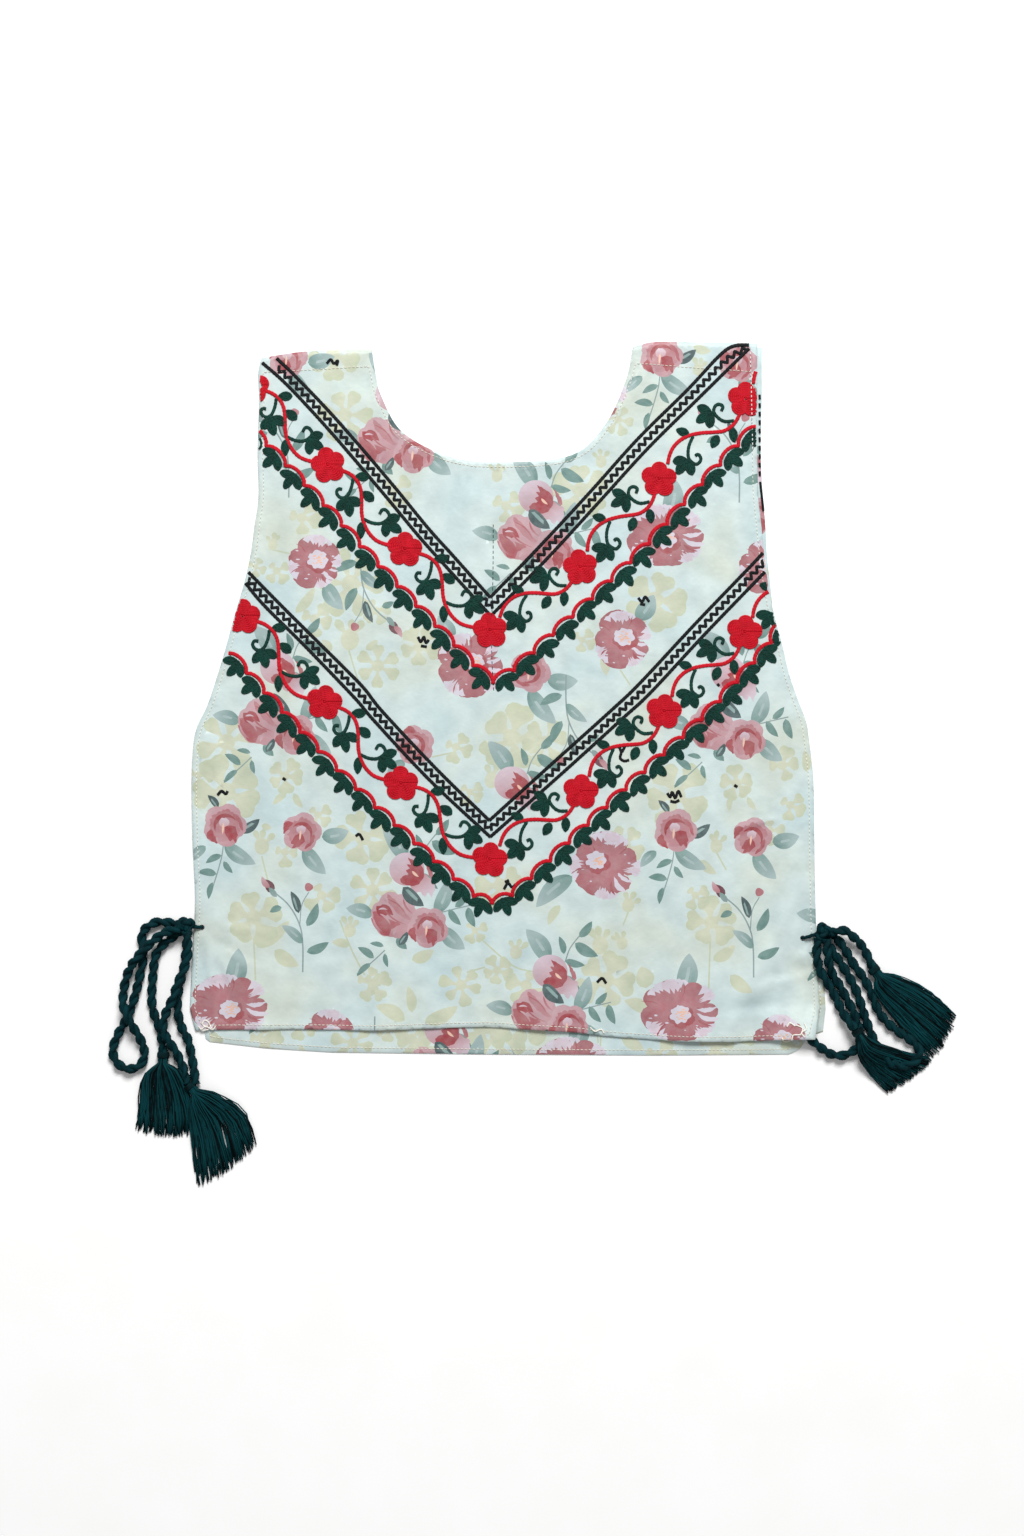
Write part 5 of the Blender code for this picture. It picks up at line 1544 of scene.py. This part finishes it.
def build_panels():
    rng = np.random.default_rng(7)
    shapes = print_over(FRONT_OUTLINE, np.zeros(2), False)
    rings = [inset(FRONT_OUTLINE, d) for d in (0.8, STITCH_INSET, HEM_FOLD)]
    extra = np.vstack(rings + [grid(FRONT_OUTLINE, FRONT_GRID, 1.2, rng)])
    front, verts, tris = shell("front_cloth", FRONT_OUTLINE, eyelets, [s.loop for s in shapes], extra,
                               front_top, front_bottom, [cloth_paint])
    paint(front, verts, tris, shapes)
    shapes = print_over(BACK_OUTLINE, np.array(BACK_PRINT_SHIFT), True)
    extra = np.vstack([inset(BACK_OUTLINE, 0.8), grid(BACK_OUTLINE, BACK_GRID, 2.0, rng)])
    back, verts, tris = shell("back_cloth", BACK_OUTLINE, eyelets, [s.loop for s in shapes], extra,
                              back_top, back_bottom, [cloth_paint])
    paint(back, verts, tris, shapes)
    for obj, node in ((front, "front_panel"), (back, "back_panel")):
        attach(obj, "root")
        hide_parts(node)
    return front, back


# Embroidery. It lies on the front's face as rows of chain stitches over low padding.

THREAD_HEIGHT = 1.2
FLOWER_RADIUS = 14.1
# Rings of a pad, in parts of its outline, and how far its rim goes into the cloth
PAD_RINGS = (1.0, 0.86, 0.45)
PAD_SINK = 0.25
THREAD_SHADES = (
    # colour, dark, light
    ("red", (166, 2, 20), (208, 10, 38)),
    ("green", (0, 32, 27), (2, 66, 54)),
    ("black", (4, 6, 10), (16, 20, 24)),
)
FLOWER_THREAD = 1.95
FLOWER_SPACING = 1.62
VINE_THREAD = 3.3
TENDRIL_THREAD = 2.9
RAIL_THREAD = 3.0
ZIGZAG_THREAD = 2.7
ZIGZAG_SWING = 2.1
ZIGZAG_TOOTH = 3.3
MARK_THREAD = 2.5
LEAF_REACH = 14.2
TRIM_LEAF = (54, 7.3)
VINE_LEAF = (52, 8.0)
UPPER_FLOWERS = (
    (-204.4, 250.0), (-143.6, 186.8), (-82.0, 119.6), (-14.0, 54.8), (58.0, 105.2),
    (121.2, 175.6), (190.2, 239.4), (255.0, 306.0),
)
LOWER_FLOWERS = (
    (-211.4, 66.0), (-146.0, -2.8), (-85.2, -67.6), (-14.0, -128.4), (58.8, -74.0),
    (125.2, -10.0), (189.6, 53.2), (254.0, 116.0),
)
POINT_FLOWER = 3
CENTRE_LINE = ((-11.4, 139.0), (-11.6, 100.0), (-12.6, 60.0), (-12.4, 30.0), (-10.8, 1.6))
RAILS = (
    ((-184.4, 271.8), (-168.9, 256.9), (-135.9, 222.1), (-94.1, 173.6), (-63.6, 136.4), (-42.2, 112.6),
     (-13.8, 80.8), (22.9, 118.6), (66.5, 165.5), (103.9, 207.2), (143.7, 246.6), (166.0, 270.6),
     (176.0, 279.4), (184.0, 282.4), (193.0, 282.6)),
    ((-196.0, 268.3), (-176.0, 250.4), (-143.3, 215.3), (-101.6, 166.7), (-70.9, 129.7), (-49.6, 105.9),
     (-13.3, 66.0), (30.8, 110.9), (74.1, 158.1), (111.8, 199.5), (151.6, 238.9), (193.0, 279.6)),
    ((-208.0, 102.0), (-176.6, 70.1), (-131.1, 25.1), (-114.4, 7.9), (-99.4, -11.0), (-55.5, -57.6),
     (-14.5, -97.5), (36.0, -51.7), (83.6, -8.9), (106.7, 13.2), (150.4, 60.1), (194.8, 106.3),
     (206.0, 118.4)),
    ((-212.0, 95.6), (-194.8, 74.8), (-160.8, 40.9), (-122.1, 0.5), (-106.5, -17.8), (-62.8, -64.6),
     (-13.8, -110.6), (43.7, -59.7), (91.1, -16.7), (114.6, 5.0), (158.2, 52.0), (202.7, 98.1),
     (212.0, 108.0)),
)
ARCH_RISE = 4.7
TRIM_ARMS = (
    # route from the point outwards, number of arches, side that the arches rise to, row
    (((-11.6, 11.6), (-24.4, 22.8), (-103.6, 105.2), (-146.8, 153.3), (-192.8, 201.7), (-207.9, 217.5)),
     13, -1, "upper"),
    (((-11.6, 11.6), (4.4, 21.2), (99.6, 109.2), (140.9, 154.2), (170.5, 186.6), (199.1, 217.2)),
     14, 1, "upper"),
    (((-12.4, -164.4), (-25.2, -160.4), (-122.8, -71.6), (-181.7, -10.0), (-222.9, 36.1)),
     14, -1, "lower"),
    (((-12.4, -164.4), (2.8, -158.8), (95.6, -72.4), (157.3, -15.8), (182.6, 11.6), (211.1, 44.2),
      (220.3, 62.5)),
     16, 1, "lower"),
)
TRIM_LEAF_OFFSET = -1.4

# One repeat of the vine on each arm, in millimetres from the middle of its outer flower, as it lies
# where the line to the next flower has the angle below. It turns and stretches with that line.
RIGHT_VINE = {
    "angle": 43.9,
    "length": 91.6,
    "vine": ((-59.6, -52.0), (-58.2, -44.9), (-55.1, -38.3), (-49.5, -32.7), (-42.3, -29.1), (-33.2, -27.2),
             (-24.0, -26.5), (-16.8, -25.5), (-10.7, -21.9), (-6.6, -16.8), (-3.6, -10.0)),
    # middle, angle, length, width
    "ovals": ((-48.5, -26.6, -18, 10.7, 5.6), (-23.2, -33.7, 65, 11.0, 6.2), (-8.9, -28.4, 95, 11.2, 5.8)),
    "tendrils": (((-40.3, -30.1), (-43.0, -36.5), (-43.9, -42.5), (-42.9, -48.0), (-37.8, -51.7),
                  (-34.3, -49.3), (-34.1, -46.2), (-36.2, -43.9), (-38.2, -45.2)),
                 ((-8.7, -17.3), (-15.8, -17.9), (-20.9, -15.3), (-24.5, -10.7), (-23.5, -6.1),
                  (-20.4, -4.6), (-17.5, -6.4), (-18.6, -9.8))),
    # hub, heading of the middle lobe
    "leaves": ((-43.9, -48.6, 236), (-26.0, -11.2, 210)),
}
LEFT_VINE = {
    "angle": -46.8,
    "length": 88.2,
    "vine": ((10.0, -3.9), (16.5, -6.6), (21.6, -10.7), (24.7, -15.8), (26.2, -21.9), (26.5, -30.1),
             (26.7, -37.2), (28.3, -44.4), (31.8, -51.5), (36.9, -57.1), (42.0, -59.9), (48.8, -61.9)),
    "ovals": ((26.9, -8.9, 0, 11.2, 6.2), (31.6, -24.0, -40, 11.2, 6.4), (26.3, -50.5, 88, 13.0, 5.6)),
    "tendrils": (((19.6, -10.7), (18.6, -16.8), (16.0, -23.0), (12.4, -25.5), (8.9, -24.5), (7.1, -21.4),
                  (8.4, -18.7), (11.4, -18.9)),
                 ((28.3, -41.8), (34.9, -44.6), (41.5, -44.9), (46.6, -41.8), (48.0, -38.3), (45.6, -34.7),
                  (42.6, -34.4), (40.6, -37.6))),
    "leaves": ((15.0, -25.6, -76), (45.0, -43.4, -34)),
}


class Stitches:
    """Rows of thread of one colour and their padding, gathered into one mesh."""

    def __init__(self, name, mat):
        self.name = name
        self.mat = mat
        self.rows = []
        self.pads = []

    def row(self, points, width, closed=False, link=LINK, height=THREAD_HEIGHT, raised=0.0, margin=1.0):
        """A row of chain stitches. What would lie past the cloth's edge is left out."""
        points = np.asarray(points, float)
        if closed:
            points = np.vstack([points, points[:1]])
        line = evenly(points, link / 4)
        kept = on_front(line, margin)
        if kept.all():
            self.rows.append((line, width, closed, height, raised))
            return
        starts = np.flatnonzero(kept & ~np.concatenate([[False], kept[:-1]]))
        ends = np.flatnonzero(kept & ~np.concatenate([kept[1:], [False]]))
        for first, last in zip(starts, ends):
            if last - first > 3:
                self.rows.append((line[first:last + 1], width, False, height, raised))

    def pad(self, loop, height):
        loop = np.asarray(loop, float)
        if on_front(loop, 1.0).all():
            self.pads.append((loop, height))

    def build(self):
        verts = []
        quads = []
        tris = []
        shift = 0
        across = np.array((-1.0, -0.84, -0.38, 0.0, 0.38, 0.84, 1.0))
        crown = np.array((-0.40, 0.50, 1.0, 0.66, 1.0, 0.50, -0.40))
        rng = np.random.default_rng(len(self.rows))
        lines = []
        for line, width, closed, height, raised in self.rows:
            ahead = np.gradient(line, axis=0)
            if closed:
                ahead[0] = ahead[-1] = line[1] - line[-2]
            lines.append((line, to_left(unit(ahead))))
        middles = np.vstack([line for line, side in lines])
        sides = np.vstack([side for line, side in lines])
        widths = np.concatenate([np.full(len(line), row[1]) for (line, side), row in zip(lines, self.rows)])
        base = front_surface(middles)
        tilt = (front_surface(middles + sides * widths[:, None] / 2) - base) / (widths / 2)
        tilt = np.clip(tilt, -0.6, 0.6)
        start = 0
        for (line, side), (_, width, _, height, raised) in zip(lines, self.rows):
            n = len(line)
            z = base[start:start + n]
            lean = tilt[start:start + n]
            start += n
            phase = (np.arange(n) % 4) / 4
            swell = 0.90 + 0.14 * np.sin(math.pi * np.clip(phase + 0.12, 0, 1))
            swell += rng.uniform(-0.04, 0.04, n)
            rise = 0.80 + 0.26 * np.sin(math.pi * (phase + 0.10)) + rng.uniform(-0.05, 0.05, n)
            offsets = across[None, :] * (width / 2) * swell[:, None]
            flat = line[:, None, :] + side[:, None, :] * offsets[:, :, None]
            up = z[:, None] + lean[:, None] * offsets + raised + crown[None, :] * height * rise[:, None]
            verts.append(np.concatenate([flat, up[:, :, None]], axis=2).reshape(-1, 3))
            count = len(across)
            rows = np.arange(n - 1)[:, None] * count + shift
            k = np.arange(count)[None, :]
            nxt = (k + 1) % count
            quads.append(np.stack([rows + nxt, rows + k, rows + count + k, rows + count + nxt], axis=2)
                         .reshape(-1, 4))
            last = shift + (n - 1) * count
            for j in range(1, count - 1):
                tris.append((shift, shift + j, shift + j + 1))
                tris.append((last, last + j + 1, last + j))
            shift += n * count
        for loop, height in self.pads:
            n = len(loop)
            middle = loop.mean(axis=0)
            rings = np.vstack([middle + (loop - middle) * part for part in PAD_RINGS] + [middle[None]])
            rings[:n] = loop
            z = front_surface(rings)
            z[:n] -= PAD_SINK
            z[n:2 * n] += height * 0.8
            z[2 * n:] += height
            verts.append(np.column_stack([rings, z]))
            k = np.arange(n)
            nxt = (k + 1) % n
            strip = np.stack([k, nxt, n + nxt, n + k], axis=1) + shift
            quads += [strip, strip + n]
            for one, other in zip(k.tolist(), nxt.tolist()):
                tris.append((shift + 2 * n + one, shift + 2 * n + other, shift + 3 * n))
                tris.append((shift + other, shift + one, shift + 3 * n + 1))
            verts.append(np.array([(middle[0], middle[1], float(z[3 * n]) - height - PAD_SINK)]))
            shift += 3 * n + 2
        obj = add_mesh(self.name, np.vstack(verts), [np.vstack(quads), np.array(tris)], [self.mat])
        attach(obj, "root")
        return obj


def heading_of(vector):
    return math.atan2(vector[1], vector[0])


def lobed_row(middle, radius, turn, depth):
    """A closed row round a flower with five petals."""
    count = max(16, int(2 * math.pi * radius / 0.7))
    angles = turns_round(count)
    size = radius * (1 - depth + depth * np.abs(np.cos(2.5 * (angles - turn))) ** 0.66)
    size = size * (1 + 0.045 * np.cos(angles - 3.0 * turn) + 0.03 * np.cos(2 * angles + 5.0 * turn))
    return np.array(middle) + size[:, None] * rays(angles)


def stitched_flower(thread, middle, turn):
    depth = 0.30
    thread.pad(lobed_row(middle, FLOWER_RADIUS - 0.8, turn, depth)[::2], 0.75)
    radius = FLOWER_RADIUS - 0.6
    k = 0
    while radius > 0.9:
        loop = lobed_row(middle, radius, turn + 0.05 * math.sin(3.1 * k), depth * min(1, radius / 9))
        thread.row(loop, FLOWER_THREAD, True, raised=0.12 + 0.12 * min(k, 3))
        radius -= FLOWER_SPACING
        k += 1
    thread.row(np.array(middle) + ((-0.8, 0.0), (0.8, 0.2)), 1.9, raised=0.5)


def lobe_loop(base, tip, width, bend, step):
    """A lobe's outline, full near its blunt end."""
    along = tip - base
    length = np.linalg.norm(along)
    across = np.array((-along[1], along[0])) / length
    t = np.linspace(0, 1, max(7, int(length / step)))
    profile = width / 2 * np.sin(math.pi * t ** 1.16) ** 0.66
    spine = base + t[:, None] * along + (bend * length * np.sin(math.pi * t))[:, None] * across
    return np.vstack([spine + profile[:, None] * across, (spine - profile[:, None] * across)[::-1][1:-1]])


def stitched_lobe(thread, base, heading, length, width, bend=0.0):
    """One lobe: rows round it and one along its middle, over padding."""
    ray = ray_at(heading)
    inner = base + ray * 0.9
    tip = base + ray * (length - 0.9)
    thread.pad(lobe_loop(inner, tip, width - 1.4, bend, 1.8), 0.5)
    thread.row(lobe_loop(inner, tip, width - 1.9, bend, 0.9), 2.1, True)
    if width > 6.4:
        thread.row(lobe_loop(inner + ray * 1.7, tip - ray * 1.6, width - 5.1, bend, 0.9), 1.9, True,
                   raised=0.1)
    thread.row((base + ray * length * 0.26, base + ray * length * 0.74), 1.9, raised=0.2)


def stitched_oval(thread, middle, heading, length, width):
    ray = ray_at(heading)
    stitched_lobe(thread, middle - ray * length / 2, heading, length, width)


def stitched_leaf(thread, hub, heading, reach, spread, width, rng):
    """Three lobes from a hub, the middle one along the heading."""
    for side, part in ((-1, 0.90), (1, 0.92), (0, 1.06)):
        turn = heading + math.radians(spread * side + rng.uniform(-4, 4))
        length = reach * part * rng.uniform(0.96, 1.04)
        stitched_lobe(thread, hub, turn, length, width * rng.uniform(0.94, 1.06), rng.uniform(-0.05, 0.05))
    ray = ray_at(heading)
    thread.row((hub - ray * 0.8, hub + ray * 3.4), 2.3, raised=0.3)


def stitch_trims(red, green):
    rng = np.random.default_rng(21)
    for route, arches, side, row in TRIM_ARMS:
        line = np.array(route)
        cusps = evenly(smooth_route(line, 1.0) if len(line) > 2 else line,
                       float(np.linalg.norm(np.diff(line, axis=0), axis=1).sum()) / arches)
        scallop = []
        for a, b in zip(cusps, cusps[1:]):
            chord = b - a
            out = np.array((chord[1], -chord[0]))
            out = out / np.linalg.norm(out) * side
            t = np.linspace(0, 1, 9)[:-1]
            rise = ARCH_RISE * np.sin(math.pi * t) ** 0.62
            scallop.append(a + t[:, None] * chord - rise[:, None] * out)
            hub = a + chord * 0.5 + out * TRIM_LEAF_OFFSET + rng.uniform(-0.4, 0.4, 2)
            heading = heading_of(out) + rng.uniform(-0.10, 0.10)
            stitched_leaf(green[row], hub, heading, LEAF_REACH, *TRIM_LEAF, rng)
        scallop.append(cusps[-1][None])
        red[row].row(np.vstack(scallop), VINE_THREAD)


def on_front(points, margin):
    """Which points lie on the front panel, at least a margin from its edge."""
    return inside(points, FRONT_OUTLINE) & (distance_to(points, FRONT_OUTLINE, True) > margin)


def stitch_vines(red, green):
    rng = np.random.default_rng(22)
    for row, flowers in (("upper", UPPER_FLOWERS), ("lower", LOWER_FLOWERS)):
        for i in range(len(flowers) - 1):
            right = i >= POINT_FLOWER
            repeat = RIGHT_VINE if right else LEFT_VINE
            start = np.array(flowers[i])
            end = np.array(flowers[i + 1])
            outer = end if right else start
            chord = end - start
            turn = heading_of(chord) - math.radians(repeat["angle"])
            scale = np.linalg.norm(chord) / repeat["length"]

            def place(points):
                return outer + turned(points, turn, scale)

            red[row].row(smooth_route(place(repeat["vine"]), 0.6), VINE_THREAD)
            for x, y, angle, length, width in repeat["ovals"]:
                angle = math.radians(angle) + turn
                stitched_oval(green[row], place((x, y)), angle, length + 0.6, width * 1.26)
            for line in repeat["tendrils"]:
                green[row].row(smooth_route(place(line), 0.6), TENDRIL_THREAD)
            for x, y, heading in repeat["leaves"]:
                heading = math.radians(heading) + turn
                stitched_leaf(green[row], place((x, y)), heading, LEAF_REACH, *VINE_LEAF, rng)


def stitch_rails(black):
    for name, inner, outer in (("upper", RAILS[0], RAILS[1]), ("lower", RAILS[2], RAILS[3])):
        arms = []
        for rail in (inner, outer):
            corner = min(range(len(rail)), key=lambda k: rail[k][1])
            left = smooth_route(rail[:corner + 1], 0.7)
            right = smooth_route(rail[corner:], 0.7)
            arms.append((left[::-1], right))
            for arm in (left, right):
                black[name].row(arm, RAIL_THREAD, margin=0.9)
        for inner_arm, outer_arm in zip(*arms):
            count = min(len(inner_arm), len(outer_arm))
            middle = (inner_arm[:count] + outer_arm[:count]) / 2
            teeth = evenly(middle, ZIGZAG_TOOTH)
            side = to_left(unit(np.gradient(teeth, axis=0)))
            swing = np.where(np.arange(len(teeth)) % 2, 1.0, -1.0)[:, None]
            black[name].row(teeth + side * swing * ZIGZAG_SWING, ZIGZAG_THREAD, link=2.2, height=0.85,
                            margin=1.3)


# Short black thread marks left on the cloth, in steps
BLACK_MARKS = (
    ((327, 364), (331, 360), (334, 364), (338, 361), (337, 366)),
    ((418, 637), (421, 642), (424, 637), (426, 643), (429, 640)), ((421, 646), (427, 647)),
    ((597, 982), (602, 978), (606, 983)), ((504, 889), (508, 883), (512, 887), (516, 884)),
    ((638, 598), (642, 602), (645, 597), (649, 602)), ((640, 604), (645, 605)),
    ((667, 793), (670, 797), (672, 792), (675, 798), (678, 791), (681, 797)),
    ((670, 801), (675, 802), (679, 800)),
    ((356, 836), (359, 834), (361, 836), (363, 840)), ((218, 795), (222, 791), (226, 794), (228, 791)),
    ((618, 745), (621, 752), (620, 758), (624, 761), (629, 760)), ((625, 746), (622, 752)),
    ((734, 785), (737, 787)), ((283, 778), (286, 780)), ((505, 882), (509, 880)), ((717, 684), (719, 686)),
)


def stitch_marks(black):
    for mark in BLACK_MARKS:
        black["upper"].row(smooth_route(from_steps(mark), 0.6), MARK_THREAD, link=1.8, height=0.8)
    centre = smooth_route(CENTRE_LINE, 0.6)
    for start in range(0, len(centre) - 8, 7):
        black["upper"].row(centre[start:start + 5], 0.6, link=2.4, height=0.35)


def build_embroidery():
    rows = ("upper", "lower")
    threads = []
    for colour, dark, light in THREAD_SHADES:
        mat = yarn_material(colour + " thread", dark, light, roughness=0.66, fibre=0.45)
        threads.append({row: Stitches(f"{colour}_stitches_{row}", mat) for row in rows})
    red, green, black = threads
    rng = np.random.default_rng(8)
    for row, flowers in zip(rows, (UPPER_FLOWERS, LOWER_FLOWERS)):
        for middle in flowers[:-1]:
            stitched_flower(red[row], middle, math.pi / 2 + rng.uniform(-0.2, 0.2))
    stitch_trims(red, green)
    stitch_vines(red, green)
    stitch_rails(black)
    stitch_marks(black)
    return [thread[row].build() for thread in threads for row in rows]


def build_topstitching():
    """The sewing thread round the folded edges of both panels."""
    mat = yarn_material("sewing thread", (214, 208, 190), (244, 240, 228), 0.6, 0.3, 0.1)
    rng = np.random.default_rng(5)
    stitch = 2.2
    pitch = 3.2
    pieces = []
    for name, outline, height in (("front_hem_stitches", FRONT_OUTLINE, front_surface),
                                  ("back_hem_stitches", BACK_OUTLINE, lambda p: back_top(p, None))):
        line = inset(outline, STITCH_INSET)
        line = line[(distance_to(line, outline, True) > STITCH_INSET * 0.9)
                    & (shoulder_line(line) - line[:, 1] > SHOULDER_ROLL + 9.0)]
        places = evenly(np.vstack([line, line[:1]]), pitch)
        gaps = np.linalg.norm(np.diff(places, axis=0), axis=1)
        starts = places[:-1][gaps < pitch * 1.3]
        ahead = (np.diff(places, axis=0) / np.maximum(gaps, 1e-9)[:, None])[gaps < pitch * 1.3]
        clear = distance_to(starts, outline, True) > STITCH_INSET * 0.8
        starts = starts[clear]
        ahead = ahead[clear]
        side = to_left(ahead)
        half = 0.33
        corners = []
        for along in (0.0, 0.5, 1.0):
            lift_up = (0.05, 0.42, 0.05)[int(along * 2)]
            middle = starts + ahead * stitch * along + side * rng.uniform(-0.12, 0.12, (len(starts), 1))
            z = height(middle)
            for across, up in ((-1, -0.35), (-0.5, 0.30), (0.5, 0.30), (1, -0.35)):
                corners.append(np.column_stack([middle + side * across * half, z + up * 0.8 + lift_up]))
        verts = np.stack(corners, axis=1)
        n = len(starts)
        base = np.arange(n)[:, None] * 12
        quads = []
        for station in (0, 4):
            for k in range(4):
                nxt = (k + 1) % 4
                quads.append(base + np.array([[station + nxt, station + k, station + 4 + k,
                                               station + 4 + nxt]]))
        quads.append(base + np.array([[0, 1, 2, 3]]))
        quads.append(base + np.array([[11, 10, 9, 8]]))
        obj = add_mesh(name, verts.reshape(-1, 3), [np.vstack(quads)], [mat])
        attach(obj, "root")
        pieces.append(obj)
    return pieces


# Loose ends of the sewing thread at the hem's corners, in steps
THREAD_ENDS = (
    ((795, 1024), (801, 1027), (799, 1033), (792, 1034), (790, 1040), (784, 1041), (781, 1037)),
    ((803, 1022), (805, 1028), (800, 1031), (803, 1036)),
    ((786, 1026), (789, 1022), (794, 1025)),
    ((207, 1027), (203, 1024), (205, 1020), (209, 1022), (212, 1028)),
    ((202, 1029), (206, 1026), (213, 1029), (216, 1026)),
    ((199, 1026), (203, 1030), (209, 1029)),
    ((590, 1027), (595, 1031), (601, 1029), (604, 1033)),
)


# Stitches that show on the back panel beside the right armhole, in steps
BACK_DASHES = tuple(((759.4 + 0.014 * k, 395 + 8.5 * k),
                     (759.6 + 0.014 * k, 399.4 + 8.5 * k)) for k in range(10))
BACK_RAIL = (((760.0, 482.0), (761.6, 496.0), (763.2, 511.0)),)


# White stitches beside the right armhole, which cross the flower and the leaf there, in steps
FLOWER_STITCHES = tuple(((750.0 + 0.1 * k, 353 + 4.3 * k),
                         (750.0 + 0.1 * k, 355.2 + 4.3 * k)) for k in range(23))
# Heights in the photo between which those stitches lie on raised thread
RAISED_SPANS = ((380, 418), (431, 455))


def build_threads(name, mat, lines, radius, base, raised=()):
    """Single threads on the front's face, or at a height of their own past its edge."""
    pieces = []
    section = radius * rays(turns_round(6))
    for points in lines:
        line = smooth_route(from_steps(points), 0.6)
        z = np.where(inside(line, FRONT_OUTLINE), front_surface(line), base) + 0.9 * radius
        if any(low < points[0][1] < high for low, high in raised):
            z = z + THREAD_HEIGHT
        path = np.column_stack([line, z])
        side, up = ring_frames(path)
        pieces.append(tube(path, np.repeat(section[None], len(path), axis=0), side, up))
    verts, faces = joined(pieces)
    obj = add_mesh(name, verts, faces, [mat])
    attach(obj, "root")
    return obj


def build_floor():
    corners = [(x * FLOOR_SIZE, y * FLOOR_SIZE, 0) for x, y in ((-1, -1), (1, -1), (1, 1), (-1, 1))]
    obj = add_mesh("floor", corners, np.array([(0, 1, 2, 3)]), [])
    s = Shader("pale floor", 0.75)
    shade = s.noise(60.0, 2.0)
    s.colour(s.ramp(shade, ((0.3, (253, 253, 252)), (0.7, (255, 255, 255)))))
    s.set("Specular IOR Level", 0.2)
    obj.data.materials.append(s.mat)


def build_lights():
    world = bpy.data.worlds.new("soft room")
    bpy.context.scene.world = world
    world.use_nodes = True
    background = world.node_tree.nodes["Background"]
    background.inputs["Color"].default_value = (1.0, 1.0, 1.0, 1.0)
    background.inputs["Strength"].default_value = ROOM_LIGHT
    lamp = bpy.data.lights.new("window", "AREA")
    lamp.shape = "RECTANGLE"
    lamp.size = LAMP_SIZE
    lamp.size_y = LAMP_SIZE
    lamp.energy = LAMP_POWER
    obj = bpy.data.objects.new("window", lamp)
    obj.location = LAMP_PLACE
    obj.rotation_euler = (Vector((0, 0, 0)) - Vector(obj.location)).to_track_quat("-Z", "Y").to_euler()
    bpy.context.scene.collection.objects.link(obj)


def build_camera():
    data = bpy.data.cameras.new("camera")
    data.sensor_width = CAMERA_SENSOR
    data.lens = CAMERA_LENS
    data.clip_end = CAMERA_REACH
    obj = bpy.data.objects.new("camera", data)
    obj.location = CAMERA_PLACE
    bpy.context.scene.collection.objects.link(obj)
    bpy.context.scene.camera = obj


build_camera()
for number, (name, route, far_end, lay, tassel) in enumerate(CORDS):
    build_cord(number, name, route)
for name, middle, eyelet in KNOTS:
    build_knot(name, middle, eyelet)
for number, row in enumerate(TASSELS):
    build_tassel(number, *row)
front, back = build_panels()
embroidery = build_embroidery()
front_hem, back_hem = build_topstitching()
pale = yarn_material("loose thread", (226, 220, 206), (248, 246, 238), roughness=0.6, fibre=0.3)
white = yarn_material("armhole thread", (206, 208, 204), (236, 238, 234), roughness=0.6, fibre=0.3)
dark = yarn_material("back rail thread", (4, 6, 10), (16, 20, 24), roughness=0.66, fibre=0.45)
thread_ends = build_threads("loose_thread_ends", pale, THREAD_ENDS, radius=0.55, base=2.2)
flower_stitches = build_threads("armhole_stitches", white, FLOWER_STITCHES, radius=0.42, base=2.2,
                                raised=RAISED_SPANS)
back_rail = build_threads("back_rail_stitches", dark, BACK_DASHES + BACK_RAIL, radius=0.95, base=0.9)
build_floor()
build_lights()
bpy.context.scene.view_settings.view_transform = "Standard"
